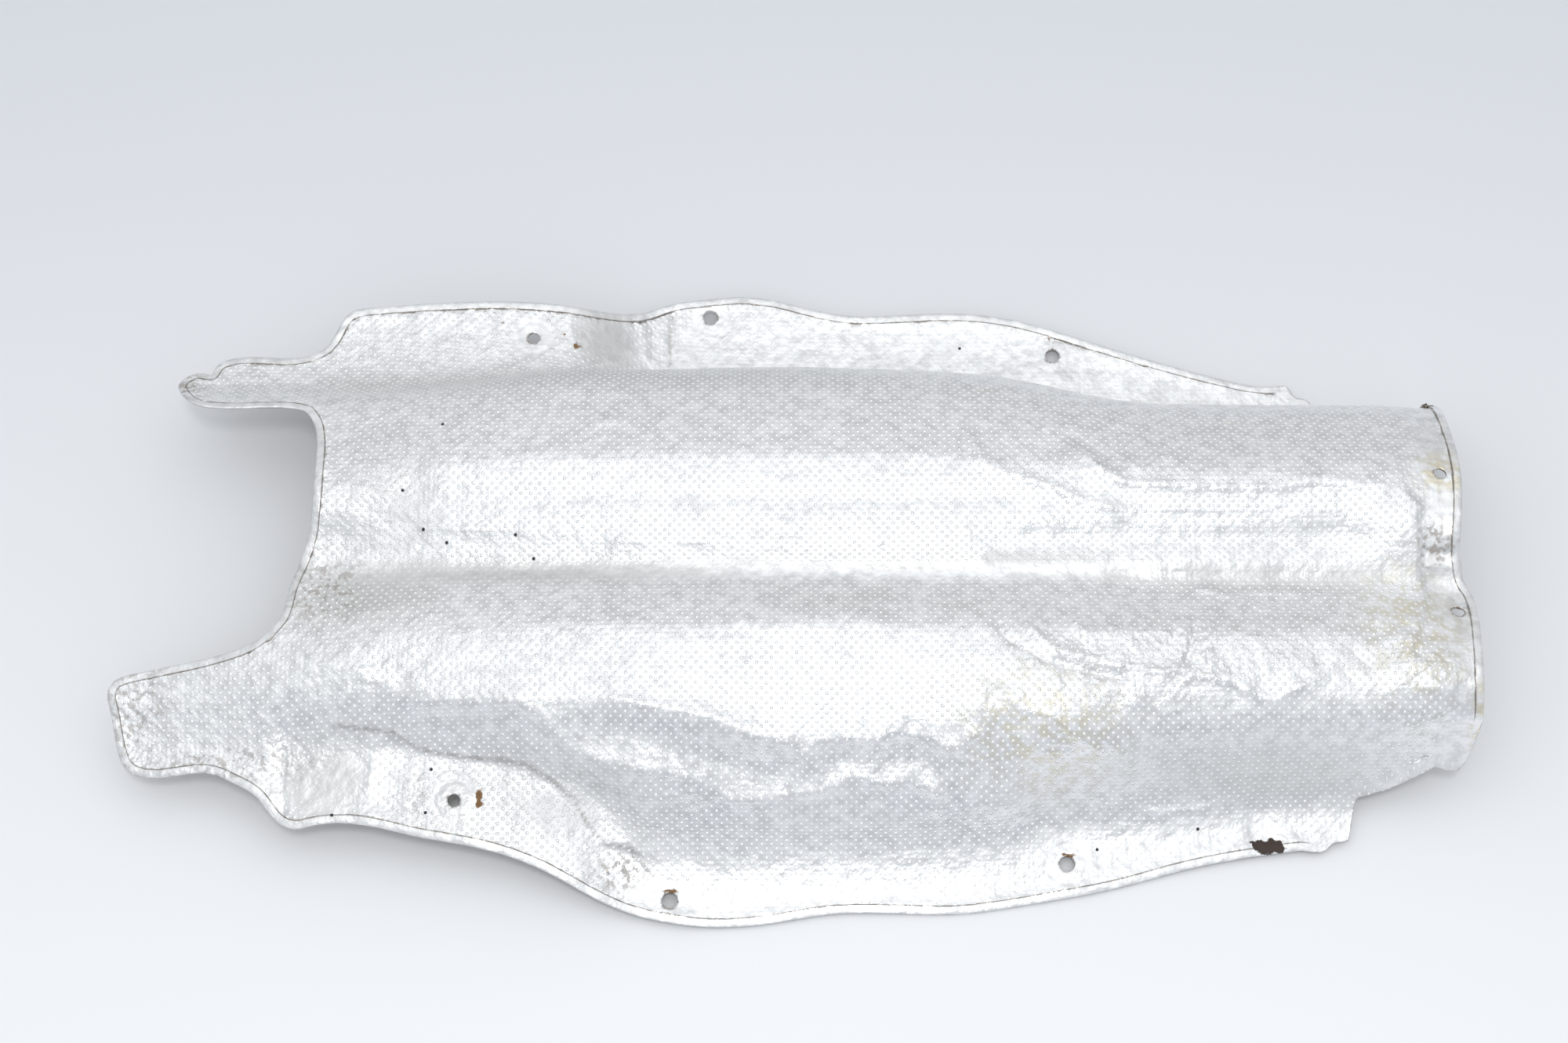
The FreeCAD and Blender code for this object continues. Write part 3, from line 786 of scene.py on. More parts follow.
    def open_holes(self, shape: bmesh.types.BMesh) -> None:
        """Cuts the bolt holes out of a finer patch of the grid.

        Args:
            shape: The hemmed sheet.
        """
        for hole in HOLES.values():
            centre = Vector((*hole.centre, 0))
            near = [face for face in shape.faces if not self.hemmed(face)
                    and (face.calc_center_median().xy - centre.xy).length < self.hole_patch]
            edges = list({edge for face in near for edge in face.edges})
            bmesh.ops.subdivide_edges(shape, edges=edges, cuts=self.hole_cuts, use_grid_fill=True)
            inside = [face for face in shape.faces
                      if (face.calc_center_median().xy - centre.xy).length < hole.radius]
            bmesh.ops.delete(shape, geom=inside, context="FACES")
            for vertex in shape.verts:
                way = vertex.co.xy - centre.xy
                if vertex.is_boundary and way.length < hole.radius + self.rim_reach:
                    rim = centre.xy + way.normalized() * hole.radius
                    vertex.co.x, vertex.co.y = rim.x, rim.y
            around = [vertex for vertex in shape.verts if not vertex.is_boundary
                      and (vertex.co.xy - centre.xy).length < hole.radius + self.rim_margin]
            for _ in range(self.rim_smoothing):
                bmesh.ops.smooth_vert(shape, verts=around, factor=0.5, use_axis_x=True, use_axis_y=True,
                                      use_axis_z=True)

    def fold_hem(self, shape: bmesh.types.BMesh) -> None:
        """Folds the hem out from the border: a step up, a flat band and a rounded edge.

        Args:
            shape: The trimmed sheet.
        """
        self.hem = shape.verts.layers.float.new("hem")
        self.seam = shape.verts.layers.float.new("seam")
        border = [edge for edge in shape.edges if edge.is_boundary]
        ways = self.outward_ways(border)
        reach = {
            vertex: self.probe.edge_distance(vertex.co, way, self.hem_limit) for vertex, way in ways.items()
        }
        reach = self.even_out(border, reach)
        sources = {vertex: vertex for vertex in ways}
        edges = border
        for ring in HEM_RINGS:
            made = bmesh.ops.extrude_edge_only(shape, edges=edges)["geom"]
            edges = [item for item in made if isinstance(item, bmesh.types.BMEdge) and item.is_boundary]
            moved = {vertex for edge in edges for vertex in edge.verts}
            fresh = {}
            for vertex in moved:
                source = next(sources[edge.other_vert(vertex)] for edge in vertex.link_edges
                              if edge.other_vert(vertex) in sources)
                fresh[vertex] = source
                way = ways[source] * reach[source] * ring.share
                torn = any(edge.holds(source.co.x, source.co.y) for edge in TORN_EDGES)
                vertex[self.hem] = 0.0 if torn else ring.hem
                vertex[self.seam] = 0.0 if torn else ring.seam
                vertex[self.along] = source[self.along] + way.x
                vertex[self.around] = source[self.around] + way.y
                vertex.co = source.co + way
                if ring.hem > 0.0 or torn:
                    vertex.co.z = self.hem_height(source, way, ring.share) - (0.0 if torn else ring.drop)
            sources = fresh

    def hem_height(self, source: bmesh.types.BMVert, way: Vector, share: float) -> float:
        """Feels for the solid's hem at a place out from a border vertex.

        Args:
            source: The border vertex.
            way: Way out from it in plan, in mm.
            share: Share of the hem's reach that the way covers.

        Returns:
            The height in mm.
        """
        inner = way * (min(share, self.hem_tip) / share)
        height = self.probe.height(source.co.x + inner.x, source.co.y + inner.y)
        return source.co.z if height is None else height

    def hemmed(self, face: bmesh.types.BMFace) -> bool:
        """True if the face belongs to the hem."""
        return any(vertex[self.hem] + vertex[self.seam] > 0 for vertex in face.verts)

    def outward_ways(self, border: list[bmesh.types.BMEdge]) -> dict[bmesh.types.BMVert, Vector]:
        """Finds the direction to the nearest edge of the sheet.

        Args:
            border: The edges along the inner line of the hem.

        Returns:
            Unit direction in plan at each border vertex.
        """
        turns = [2 * math.pi * k / self.fan_ways for k in range(self.fan_ways)]
        fan = [Vector((math.cos(turn), math.sin(turn), 0)) for turn in turns]
        ways = {}
        for vertex in {vertex for edge in border for vertex in edge.verts}:
            gaps = [self.probe.edge_distance(vertex.co, way, self.hem_limit) for way in fan]
            least = min(gaps)
            total = Vector((0, 0, 0))
            for way, gap in zip(fan, gaps):
                total += way * max(0.0, 1.25 * least + 0.3 - gap)
            ways[vertex] = total.normalized()
        for _ in range(self.way_passes):
            merged = {vertex: way.copy() for vertex, way in ways.items()}
            for edge in border:
                first, second = edge.verts
                merged[first] += 0.5 * ways[second]
                merged[second] += 0.5 * ways[first]
            ways = {vertex: way.normalized() for vertex, way in merged.items()}
        return ways

    def even_out(self, border: list[bmesh.types.BMEdge],
                 reach: dict[bmesh.types.BMVert, float]) -> dict[bmesh.types.BMVert, float]:
        """Takes the jitter out of the hem's reach along the border.

        Args:
            border: The edges along the inner line of the hem.
            reach: Reach of the hem at each border vertex, in mm.

        Returns:
            The evened reach, in mm.
        """
        total = dict(reach)
        count = {vertex: 1.0 for vertex in reach}
        for edge in border:
            first, second = edge.verts
            total[first] += 0.5 * reach[second]
            total[second] += 0.5 * reach[first]
            count[first] += 0.5
            count[second] += 0.5
        return {vertex: total[vertex] / count[vertex] for vertex in reach}

    def press_marks(self, shape: bmesh.types.BMesh) -> None:
        """Lays the arches' sides flat and presses the creases and crumples of use into the sheet.

        Args:
            shape: The hemmed sheet, in mm.
        """
        vertices = list(shape.verts)
        places = np.array([vertex.co.xy for vertex in vertices])
        for incline in INCLINES.values():
            heights = np.array([vertex.co.z for vertex in vertices])
            for vertex, height in zip(vertices, incline.flatten(places, heights, self.probe)):
                vertex.co.z = float(height)
        shape.normal_update()
        lift = np.zeros(len(vertices))
        for mark in [*CREASES.values(), *CRUMPLES.values()]:
            lift += mark.lift(places)
        for hole in HOLES.values():
            way = np.linalg.norm(places - hole.centre, axis=1)
            lift -= self.washer_depth * np.exp(-(way - self.washer_radius) ** 2)
        for vertex, height in zip(vertices, lift):
            x, y = vertex.co.xy / self.sway_size
            sway = noise.noise((x, y, 7.0)) + 0.5 * noise.noise((2.1 * x, 2.1 * y, 9.0))
            vertex.co += vertex.normal * (height + self.sway_height * sway)
            vertex.co.x = min(max(vertex.co.x, self.low.x), self.high.x)
            vertex.co.y = min(max(vertex.co.y, self.low.y), self.high.y)

    def mark_finish(self, shape: bmesh.types.BMesh) -> None:
        """Writes the patches of changed finish (the dull ones partly painted shade), the painted shade along
        two creases and the strength of the embossing to the mesh's attributes.

        Args:
            shape: The sheet in mm, with its hem.
        """
        vertices = list(shape.verts)
        places = np.array([vertex.co.xy for vertex in vertices])
        heights = np.array([vertex.co.z for vertex in vertices])
        shares = {kind: np.zeros(len(vertices)) for kind in Stain}
        for patch in PATCHES.values():
            shares[patch.kind] = np.maximum(shares[patch.kind], patch.share(places))
        wear = np.zeros(len(vertices))
        for hole in HOLES.values():
            way = np.linalg.norm(places - hole.centre, axis=1)
            pad = 1 - smooth_step((way - self.washer_radius) / self.washer_margin)
            shares[Stain.SMOOTH] = np.maximum(shares[Stain.SMOOTH], pad)
            wear = np.maximum(wear, 1 - smooth_step((way - hole.radius) / self.wear_width))
        hemmed = np.array([vertex[self.hem] + vertex[self.seam] for vertex in vertices])
        # Painted shade: a dark line along each of these creases, in the attribute that also holds the hem's
        # dark seam.
        for name in PAINTED_SHADE_CREASES:
            line = self.shade * np.exp(-(CREASES[name].follow(places)[0] / self.shade_width) ** 2)
            for vertex, shade in zip(vertices, line):
                vertex[self.seam] = max(vertex[self.seam], float(shade))
        arch = smooth_step((heights - self.flange_height) / self.emboss_rise)
        flat = self.flange_emboss + (1 - self.flange_emboss) * arch
        emboss = flat * (1 - np.clip(shares[Stain.SMOOTH], 0, 1)) * (1 - np.clip(hemmed, 0, 1))
        columns = {kind.value: share for kind, share in shares.items()}
        columns["emboss"] = emboss
        columns["wear"] = wear
        for name, values in columns.items():
            layer = shape.verts.layers.float.new(name)
            for vertex, value in zip(shape.verts, values):
                vertex[layer] = float(value)

    def build(self) -> bpy.types.Object:
        """Makes the sheet.

        Returns:
            The shield's object, in place of the solid.
        """
        shape = bmesh.new()
        self.lay(shape)
        self.trim(shape)
        shape.normal_update()
        self.fold_hem(shape)
        self.refine(shape)
        self.open_holes(shape)
        self.press_marks(shape)
        self.mark_finish(shape)
        unrolled = shape.loops.layers.uv.new("unrolled")
        for face in shape.faces:
            face.smooth = True
            for loop in face.loops:
                loop[unrolled].uv = (loop.vert[self.along] * MM, loop.vert[self.around] * MM)
        bmesh.ops.scale(shape, vec=(MM, MM, MM), verts=shape.verts)
        bmesh.ops.recalc_face_normals(shape, faces=shape.faces)
        if sum(face.normal.z for face in shape.faces) < 0:
            bmesh.ops.reverse_faces(shape, faces=shape.faces)
        hem_weights = [vertex[self.hem] for vertex in shape.verts]
        mesh = bpy.data.meshes.new("embossed_sheet")
        shape.to_mesh(mesh)
        shape.free()
        sheet = add_object("embossed_sheet", mesh)
        self.thicken(sheet, hem_weights)
        self.settle(sheet)
        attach(sheet, "root")
        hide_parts(SHIELD_NODE)
        return sheet

    def thicken(self, sheet: bpy.types.Object, hem_weights: list[float]) -> None:
        """Gives the sheet its thickness, doubled at the hem.

        Args:
            sheet: The shield's object.
            hem_weights: Weight of the hem at each vertex.
        """
        full = self.thickness + self.hem_rise
        group = sheet.vertex_groups.new(name="thickness")
        for index, hem in enumerate(hem_weights):
            group.add([index], (self.thickness + hem * self.hem_rise) / full, "REPLACE")
        wall = sheet.modifiers.new("thickness", "SOLIDIFY")
        wall.thickness = full * MM
        wall.offset = -1
        wall.vertex_group = group.name
        wall.use_quality_normals = True

    def settle(self, sheet: bpy.types.Object) -> None:
        """Makes the thickness part of the mesh, marks the underside and keeps it all inside the solid's box.

        Args:
            sheet: The shield's object.
        """
        upper = len(sheet.data.vertices)
        graph = bpy.context.evaluated_depsgraph_get()
        mesh = bpy.data.meshes.new_from_object(sheet.evaluated_get(graph))
        sheet.modifiers.clear()
        sheet.vertex_groups.clear()
        sheet.data = mesh
        places = np.empty(3 * len(mesh.vertices))
        mesh.vertices.foreach_get("co", places)
        low, high = np.array(self.low) * MM, np.array(self.high) * MM
        places = np.clip(places.reshape(-1, 3), low, high)
        mesh.vertices.foreach_set("co", places.ravel())
        under = mesh.attributes.new("underside", "FLOAT", "POINT")
        under.data.foreach_set("value", (np.arange(len(mesh.vertices)) >= upper).astype(np.float32))
        mesh.update()


class NodeDesk:
    """Adds and links the nodes of a material or of the world."""

    def __init__(self, tree: bpy.types.NodeTree, coordinates: str = "Object") -> None:
        """Takes a node tree and its coordinates.

        Args:
            tree: The node tree to fill.
            coordinates: Name of the coordinates that its patterns follow.
        """
        self.tree = tree
        self.places = self.add("ShaderNodeTexCoord").outputs[coordinates]

    def add(self, kind: str) -> bpy.types.ShaderNode:
        """Adds a node."""
        return self.tree.nodes.new(kind)

    def put(self, value: Number | Triple | Colour, socket: Socket) -> None:
        """Links a socket to another, or sets it to a value.

        Args:
            value: What to link or set.
            socket: The socket that takes it.
        """
        if isinstance(value, bpy.types.NodeSocket):
            self.tree.links.new(value, socket)
        else:
            socket.default_value = value

    def attribute(self, name: str) -> Socket:
        """Reads a number from the mesh.

        Args:
            name: The attribute's name.

        Returns:
            The number.
        """
        node = self.add("ShaderNodeAttribute")
        node.attribute_name = name
        return node.outputs["Fac"]

    def math(self, operation: str, first: Number, second: Number = 0.0, third: Number = 0.0) -> Socket:
        """Works out one number from others.

        Args:
            operation: Name of the Math node's operation.
            first: First number.
            second: Second number.
            third: Third number, where the operation takes one.

        Returns:
            The result.
        """
        node = self.add("ShaderNodeMath")
        node.operation = operation
        for value, socket in zip((first, second, third), node.inputs):
            self.put(value, socket)
        return node.outputs["Value"]

    def vector(self, operation: str, first: Socket, second: Triple) -> bpy.types.ShaderNode:
        """Works out a vector or a length from two vectors.

        Args:
            operation: Name of the Vector Math node's operation.
            first: First vector.
            second: Second vector.

        Returns:
            The node, with its Vector and Value outputs.
        """
        node = self.add("ShaderNodeVectorMath")
        node.operation = operation
        self.put(first, node.inputs[0])
        self.put(second, node.inputs[1])
        return node

    def axis(self, name: str) -> Socket:
        """Reads one axis of the coordinates.

        Args:
            name: X, Y or Z.

        Returns:
            The number.
        """
        axes = self.add("ShaderNodeSeparateXYZ")
        self.put(self.places, axes.inputs["Vector"])
        return axes.outputs[name]

    def ease(self, value: Number, start: float, end: float, low: float = 0.0, high: float = 1.0) -> Socket:
        """Eases from low to high while a value goes from start to end.

        Args:
            value: The number that drives it.
            start: Where the easing starts.
            end: Where it ends.
            low: Result at the start.
            high: Result at the end.

        Returns:
            The eased number.
        """
        node = self.add("ShaderNodeMapRange")
        node.interpolation_type = "SMOOTHSTEP"
        names = ("Value", "From Min", "From Max", "To Min", "To Max")
        for number, name in zip((value, start, end, low, high), names):
            self.put(number, node.inputs[name])
        return node.outputs["Result"]

    def ramp(self, value: Socket, start: float, end: float) -> Socket:
        """Goes evenly from 0 to 1 while a value goes from start to end.

        Args:
            value: The number that drives it.
            start: Where the ramp starts.
            end: Where it ends.

        Returns:
            The number.
        """
        node = self.add("ShaderNodeMapRange")
        for number, name in zip((value, start, end), ("Value", "From Min", "From Max")):
            self.put(number, node.inputs[name])
        return node.outputs["Result"]

    def grain(self, scale: float, detail: float, places: Socket | None = None) -> Socket:
        """Cloudy noise.

        Args:
            scale: Clouds per metre.
            detail: Octaves of finer clouds.
            places: Coordinates, or None for the object's own.

        Returns:
            Noise from 0 to 1.
        """
        node = self.add("ShaderNodeTexNoise")
        node.inputs["Scale"].default_value = scale
        node.inputs["Detail"].default_value = detail
        self.put(places or self.places, node.inputs["Vector"])
        return node.outputs["Fac"]

    def ridges(self, scale: float, detail: float) -> Socket:
        """Noise with sharp ridges, as in crumpled foil.

        Args:
            scale: Ridges per metre.
            detail: Octaves of finer ridges.

        Returns:
            Height from 0 to 1.
        """
        centred = self.math("MULTIPLY_ADD", self.grain(scale, detail), 2.0, -1.0)
        return self.math("SUBTRACT", 1.0, self.math("ABSOLUTE", centred))

    def streaks(self, angle: float, along: float, across: float) -> Socket:
        """Noise drawn out into streaks.

        Args:
            angle: Direction of the streaks in plan, in degrees from X.
            along: Clouds per metre along the streaks.
            across: Clouds per metre across them.

        Returns:
            Noise from 0 to 1.
        """
        turn = self.add("ShaderNodeMapping")
        turn.vector_type = "TEXTURE"
        turn.inputs["Rotation"].default_value = (0, 0, math.radians(angle))
        turn.inputs["Scale"].default_value = (1 / along, 1 / across, 1 / along)
        self.put(self.places, turn.inputs["Vector"])
        return self.grain(1.0, 1.0, turn.outputs["Vector"])

    def blend(self, share: Number, first: Socket | Colour, second: Socket | Colour) -> Socket:
        """Mixes two colours.

        Args:
            share: Share of the second colour.
            first: First colour.
            second: Second colour.

        Returns:
            The mixed colour.
        """
        node = self.add("ShaderNodeMix")
        node.data_type = "RGBA"
        self.put(share, node.inputs["Factor"])
        self.put(first, node.inputs["A"])
        self.put(second, node.inputs["B"])
        return node.outputs["Result"]


@dataclass(frozen=True)
class EmbossedAluminium:
    """Worn embossed aluminium, with the dirt and rust of use, and painted shade and glints: darker dull
    patches, shade lines along two creases, black pinholes and near-white dimple crowns.
    """

    bright: Colour = (0.92, 0.925, 0.93, 1)
    dull: Colour = (0.64, 0.645, 0.65, 1)
    # Near-white dimple crowns: partly oxide, partly painted glints.
    crown_glint: Colour = (0.98, 0.98, 0.98, 1)
    # Darker grey of the dull patches: painted shade.
    dull_and_shaded: Colour = (0.64, 0.64, 0.63, 1)
    heated: Colour = (0.80, 0.74, 0.58, 1)
    underside: Colour = (0.46, 0.41, 0.35, 1)
    # Dark line colour: the hem's seam, and painted shade along two creases.
    seam: Colour = (0.26, 0.24, 0.22, 1)
    grime: Colour = (0.20, 0.15, 0.10, 1)
    rust: Colour = (0.22, 0.12, 0.05, 1)
    oil: Colour = (0.05, 0.033, 0.025, 1)
    # Near black for the pinholes: painted shade where an opening would look dark.
    pinhole_shade: Colour = (0.03, 0.03, 0.03, 1)
    dimple_pitch: float = 3.75
    dimple_height: float = 0.38
    pinhole_radius: float = 0.9
    cloud_scale: float = 26.0
    mottle_scale: float = 170.0
    speckle_scale: float = 300.0
    hammer_scale: float = 240.0
    hammer_heights: Span = (0.5, 0.95)
    ripple_scale: float = 55.0
    ripple_height: float = 1.7
    crinkle_scale: float = 70.0
    crinkle_shares: Span = (0.22, 1.2)
    crinkle_height: float = 1.5
    rising_angle: float = 38.0
    rising_height: float = 0.5
    falling_angle: float = -48.0
    falling_height: float = 0.6
    oxide: float = 0.18
    crown_oxide_and_glint: float = 0.75
    roughness: Span = (0.23, 0.42)
    dull_roughness: float = 0.2
    hammer_roughness: float = 0.12
    cover_roughness: float = 0.35

    def dimples(self, desk: NodeDesk, clouds: Socket) -> Socket:
        """Lays the embossed lattice over the unrolled sheet.

        Args:
            desk: The material's nodes.
            clouds: Broad noise that wears the dimples down here and there.

        Returns:
            Height of the dimples, from 0 to 1.
        """
        unrolled = desk.add("ShaderNodeUVMap")
        unrolled.uv_map = "unrolled"
        turn = desk.add("ShaderNodeMapping")
        turn.inputs["Rotation"].default_value = (0, 0, math.radians(45))
        turn.inputs["Scale"].default_value = (1 / (self.dimple_pitch * MM),) * 3
        desk.put(unrolled.outputs["UV"], turn.inputs["Vector"])
        cell = desk.vector("FRACTION", turn.outputs["Vector"], (0, 0, 0))
        distance = desk.vector("DISTANCE", cell.outputs["Vector"], (0.5, 0.5, 0))
        dome = desk.ease(distance.outputs["Value"], 0.08, 0.30, 1.0, 0.0)
        worn = desk.ease(clouds, 0.42, 0.64, 1.0, 0.75)
        return desk.math("MULTIPLY", dome, desk.math("MULTIPLY", desk.attribute("emboss"), worn))

    def pinholes(self, desk: NodeDesk) -> Socket:
        """Paints the small holes black: painted shade in place of openings.

        Args:
            desk: The material's nodes.

        Returns:
            1 in a pinhole and 0 elsewhere.
        """
        flat = desk.vector("MULTIPLY", desk.places, (1, 1, 0))
        nearest: Number = 1.0
        radius = self.pinhole_radius * MM
        for x, y in PINHOLES:
            way = desk.vector("DISTANCE", flat.outputs["Vector"], (x * MM, y * MM, 0))
            nearest = desk.math("MINIMUM", nearest, way.outputs["Value"])
        return desk.ease(nearest, 0.8 * radius, 1.2 * radius, 1.0, 0.0)

    def relief(self, desk: NodeDesk, dimples: Socket) -> Socket:
        """Adds up the small relief of the surface.

        Args:
            desk: The material's nodes.
            dimples: Height of the dimples, from 0 to 1.

        Returns:
            Height in mm.
        """
        height = desk.math("MULTIPLY", dimples, self.dimple_height)
        hammered = desk.ease(desk.attribute(Stain.HAMMER.value), 0.0, 1.0, *self.hammer_heights)
        height = desk.math("MULTIPLY_ADD", desk.grain(self.hammer_scale, 3), hammered, height)
        height = desk.math("MULTIPLY_ADD", desk.grain(self.ripple_scale, 2), self.ripple_height, height)
        crinkled = desk.ease(desk.attribute(Stain.CRINKLE.value), 0.0, 1.0, *self.crinkle_shares)
        crinkle = desk.math("MULTIPLY", crinkled, desk.ridges(self.crinkle_scale, 3))
        height = desk.math("MULTIPLY_ADD", crinkle, self.crinkle_height, height)
        streaks = desk.streaks(self.rising_angle, 16, 190)
        rising = desk.math("MULTIPLY", desk.attribute(Stain.RISING.value), streaks)
        height = desk.math("MULTIPLY_ADD", rising, self.rising_height, height)
        streaks = desk.streaks(self.falling_angle, 14, 170)
        falling = desk.math("MULTIPLY", desk.attribute(Stain.FALLING.value), streaks)
        return desk.math("MULTIPLY_ADD", falling, self.falling_height, height)

    def metal(self, desk: NodeDesk, dimples: Socket, fine: Socket) -> Socket:
        """Colours the bare metal, from its mottle to the dark line along the hem, which also paints shade
        along two creases; the dull patches add painted shade and the near-white crowns painted glints.

        Args:
            desk: The material's nodes.
            dimples: Height of the dimples, from 0 to 1.
            fine: Fine noise.

        Returns:
            The colour.
        """
        colour = desk.blend(desk.ease(fine, 0.32, 0.70, 0.0, 0.65), self.bright, self.dull)
        # Painted shade: the dull patches blend towards a darker grey.
        colour = desk.blend(desk.attribute(Stain.DULL_AND_SHADE.value), colour, self.dull_and_shaded)
        warm = desk.math("MULTIPLY", desk.attribute(Stain.WARM.value), desk.ease(fine, 0.40, 0.62))
        colour = desk.blend(warm, colour, self.heated)
        # Painted glints: the dimple crowns blend towards near-white.
        colour = desk.blend(dimples, colour, self.crown_glint)
        colour = desk.blend(desk.attribute("underside"), colour, self.underside)
        # The hem's dark seam, and painted shade along two creases.
        line = desk.math("MULTIPLY", desk.attribute("seam"), desk.ease(fine, 0.30, 0.55, 0.6, 0.95))
        return desk.blend(line, colour, self.seam)

    def blot(self, desk: NodeDesk, stain: Stain, speckle: Socket, solid: float) -> Socket:
        """Breaks up a stain's edge.

        Args:
            desk: The material's nodes.
            stain: The kind of stain.
            speckle: Very fine noise.
            solid: Strength, after the noise, from which the stain covers the metal.

        Returns:
            Share of the metal that is covered.
        """
        strength = desk.attribute(stain.value)
        ragged = desk.math("ADD", strength, desk.math("MULTIPLY_ADD", speckle, 1.6, -0.8))
        present = desk.math("GREATER_THAN", strength, 0.05)
        return desk.math("MULTIPLY", desk.ease(ragged, 0.40, solid), present)

    def covers(self, desk: NodeDesk, speckle: Socket) -> list[tuple[Socket, Colour]]:
        """Lists what lies on the metal.

        Args:
            desk: The material's nodes.
            speckle: Very fine noise.

        Returns:
            Share covered and colour of the grime (with painted shade along two creases), the rust, the oil
            and the pinholes (painted shade).
        """
        # The grime also follows the seam line, so the painted crease shade darkens here too.
        seam = desk.math("MULTIPLY", desk.attribute("seam"), 0.5)
        dirt_and_crease_shade = desk.math("MAXIMUM", desk.attribute(Stain.GRIME.value), seam)
        dirt_and_crease_shade = desk.math("MAXIMUM", dirt_and_crease_shade, desk.math("MULTIPLY", desk.attribute("wear"), 0.9))
        return [
            (desk.math("MULTIPLY", dirt_and_crease_shade, desk.ease(speckle, 0.50, 0.60)), self.grime),
            (self.blot(desk, Stain.RUST, speckle, 0.75), self.rust),
            (self.blot(desk, Stain.OIL, speckle, 0.52), self.oil),
            # Pinholes: painted shade, no opening is cut.
            (self.pinholes(desk), self.pinhole_shade),
        ]

    def build(self) -> bpy.types.Material:
        """Makes the material.

        Returns:
            The material.
        """
        material = bpy.data.materials.new("embossed aluminium")
        material.use_nodes = True
        desk = NodeDesk(material.node_tree)
        shader = material.node_tree.nodes["Principled BSDF"]
        clouds = desk.grain(self.cloud_scale, 3)
        dimples = self.dimples(desk, clouds)
        colour = self.metal(desk, dimples, desk.grain(self.mottle_scale, 5))
        cover: Number = 0.0
        for share, tint in self.covers(desk, desk.grain(self.speckle_scale, 3)):
            colour = desk.blend(share, colour, tint)
            cover = desk.math("MAXIMUM", cover, share)
        desk.put(colour, shader.inputs["Base Color"])
        # The crowns lose their metal shine as oxide would, so they stay bright as painted glints.
        crowns_oxide_and_glint = desk.math("MULTIPLY_ADD", dimples, self.crown_oxide_and_glint, self.oxide)
        scatter = desk.math("MAXIMUM", cover, crowns_oxide_and_glint)
        desk.put(desk.math("SUBTRACT", 1.0, scatter), shader.inputs["Metallic"])
        rough = desk.ease(clouds, 0.35, 0.65, *self.roughness)
        rough = desk.math("MULTIPLY_ADD", desk.attribute(Stain.DULL_AND_SHADE.value), self.dull_roughness, rough)
        rough = desk.math("MULTIPLY_ADD", desk.attribute(Stain.HAMMER.value), self.hammer_roughness, rough)
        rough = desk.math("MULTIPLY_ADD", cover, self.cover_roughness, rough)
        desk.put(rough, shader.inputs["Roughness"])
        bump = desk.add("ShaderNodeBump")
        bump.inputs["Strength"].default_value = 1.0
        bump.inputs["Distance"].default_value = MM
        desk.put(self.relief(desk, dimples), bump.inputs["Height"])
        desk.put(bump.outputs["Normal"], shader.inputs["Normal"])
        return material


@dataclass(frozen=True)
class Viewpoint:
    """Where the photograph was taken from."""

    aim: Triple = (-0.004, 0.0486, -0.0014)
    distance: float = 1.270
    elevation: float = 64.0
    lens: float = 50.0
    sensor: float = 36.0

    def build(self) -> bpy.types.Object:
        """Makes the camera.

        Returns:
            The camera object, set as the scene's camera.
        """
        data = bpy.data.cameras.new("camera")
        data.lens = self.lens
        data.sensor_width = self.sensor
        camera = add_object("camera", data)
        angle = math.radians(self.elevation)
        back = Vector((0, -math.cos(angle), math.sin(angle)))
        camera.location = Vector(self.aim) + self.distance * back
        camera.rotation_euler = (math.radians(90 - self.elevation), 0, 0)
        bpy.context.scene.camera = camera
        return camera


@dataclass(frozen=True)
class Panel:
    """A soft light panel: its name, its place and width in metres and its power in watts."""

    name: str
    place: Triple
    width: float
    power: float

    def build(self, aim: Vector) -> bpy.types.Object:
        """Makes the lamp.

        Args:
            aim: What it points at.

        Returns:
            The lamp object.
        """
        data = bpy.data.lights.new(self.name, "AREA")
        data.size = self.width
        data.energy = self.power
        lamp = add_object(self.name, data)
        lamp.location = self.place
        lamp.rotation_euler = (aim - Vector(self.place)).to_track_quat("-Z", "Y").to_euler()
        return lamp


PANELS: tuple[Panel, ...] = (
    Panel("top panel", (0.1, 0.05, 1.9), 2.4, 5.0),
    Panel("key panel", (0.0, -0.5, 1.85), 0.25, 5.6),
)


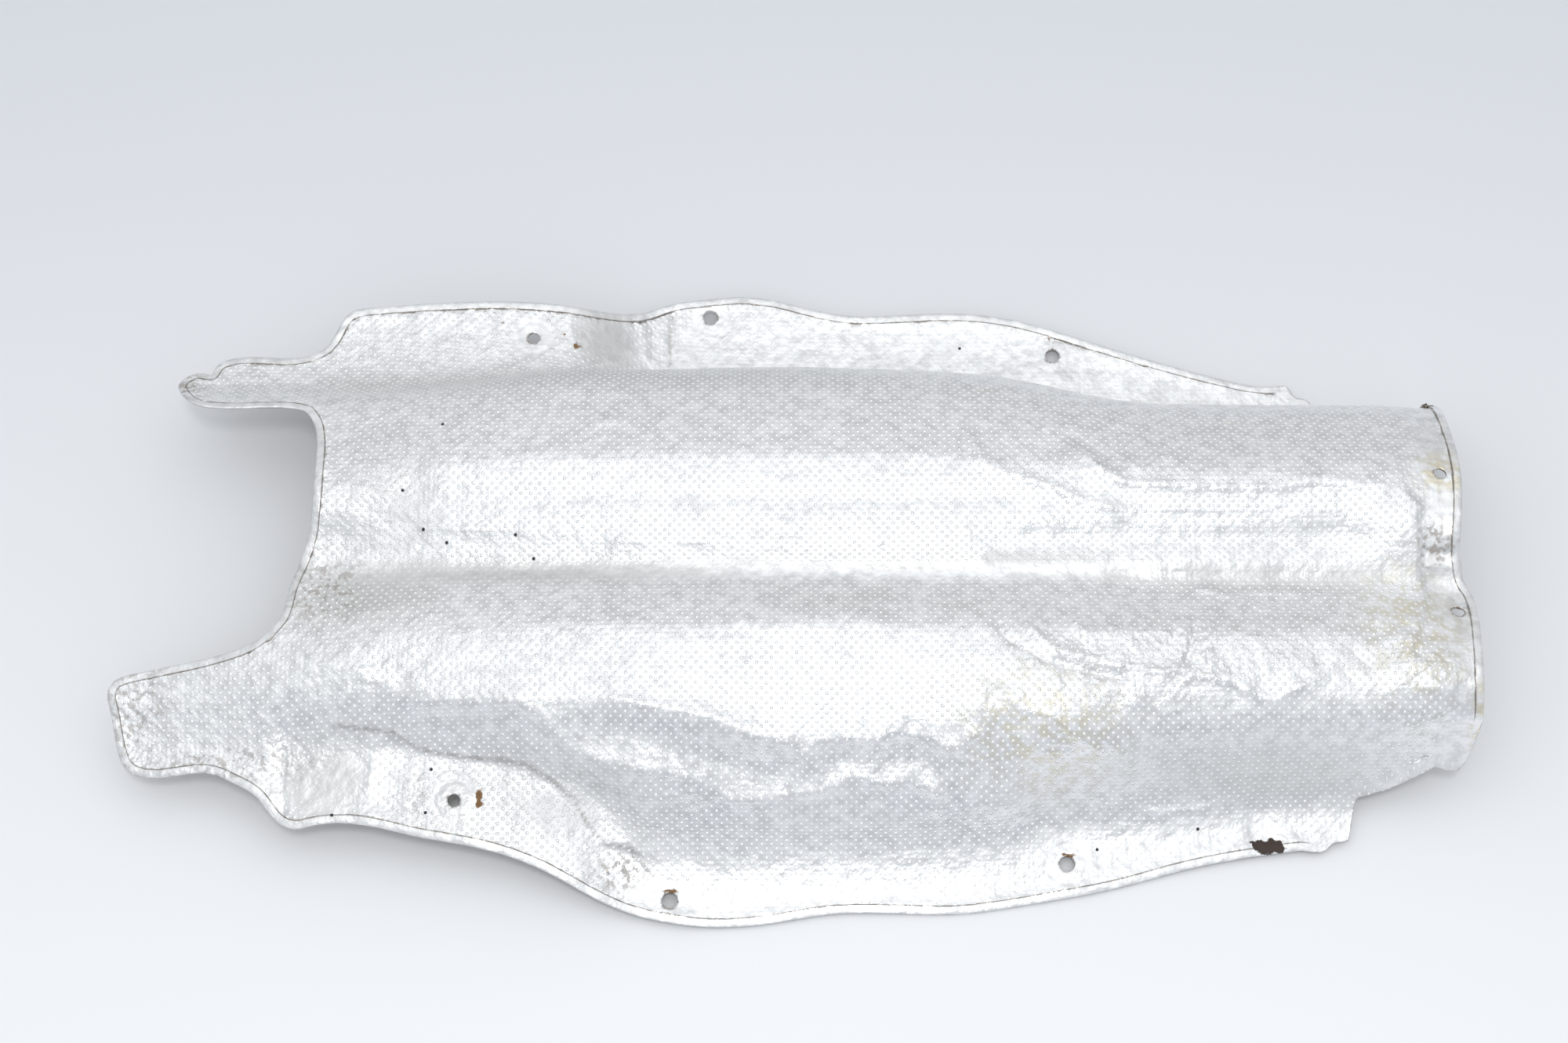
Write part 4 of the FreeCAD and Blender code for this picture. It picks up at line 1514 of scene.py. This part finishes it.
@dataclass(frozen=True)
class Studio:
    """The pale floor with its painted light gradient, the room's light and the lamps."""

    floor_size: float = 60.0
    floor_roughness: float = 0.6
    floor_light_fade: Span = (-0.5, 0.6)
    wall_fade: Span = (-0.7, 0.7)
    ceiling_fade: Span = (0.15, 0.85)
    aim: Triple = (0.0, 0.0, 0.04)
    far_floor_shaded: Colour = (0.70, 0.72, 0.755, 1)
    near_floor_lit: Colour = (0.93, 0.94, 0.955, 1)
    near_wall: Colour = (0.56, 0.59, 0.645, 1)
    far_wall: Colour = (0.61, 0.615, 0.62, 1)
    ceiling: Colour = (0.82, 0.84, 0.86, 1)

    def build_floor(self) -> bpy.types.Object:
        """Makes the floor just under the shield, its colour going from darker far to lighter near: a painted
        fall-off of the lamp's light.

        Returns:
            The floor object.
        """
        shape = bmesh.new()
        bmesh.ops.create_grid(shape, x_segments=1, y_segments=1, size=self.floor_size / 2)
        mesh = bpy.data.meshes.new("floor")
        shape.to_mesh(mesh)
        shape.free()
        floor = add_object("floor", mesh)
        material = bpy.data.materials.new("pale floor")
        material.use_nodes = True
        desk = NodeDesk(material.node_tree)
        # Painted light: darker towards the far side, lighter towards the near side.
        share = desk.ease(desk.axis("Y"), *self.floor_light_fade)
        shader = material.node_tree.nodes["Principled BSDF"]
        desk.put(desk.blend(share, self.near_floor_lit, self.far_floor_shaded), shader.inputs["Base Color"])
        shader.inputs["Roughness"].default_value = self.floor_roughness
        mesh.materials.append(material)
        return floor

    def build_world(self) -> bpy.types.World:
        """Makes the room's light: a dimmer wall on the near side, a brighter one opposite, and the ceiling.

        Returns:
            The world, set as the scene's world.
        """
        world = bpy.data.worlds.new("studio")
        world.use_nodes = True
        desk = NodeDesk(world.node_tree, "Generated")
        walls = desk.blend(desk.ramp(desk.axis("Y"), *self.wall_fade), self.near_wall, self.far_wall)
        room = desk.blend(desk.ramp(desk.axis("Z"), *self.ceiling_fade), walls, self.ceiling)
        desk.put(room, world.node_tree.nodes["Background"].inputs["Color"])
        bpy.context.scene.world = world
        return world

    def build(self) -> None:
        """Sets the world, the floor and the lamps."""
        self.build_world()
        self.build_floor()
        for panel in PANELS:
            panel.build(Vector(self.aim))
        bpy.context.scene.view_settings.view_transform = "Standard"


def main() -> None:
    """Builds the scene and logs the sheet's face count."""
    logging.basicConfig(level=logging.INFO, format="%(message)s")
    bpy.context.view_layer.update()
    Viewpoint().build()
    Studio().build()
    sheet = EmbossedSheet().build()
    sheet.data.materials.append(EmbossedAluminium().build())
    LOG.info("%s: %d faces", sheet.name, len(sheet.data.polygons))


if __name__ == "__main__":
    main()
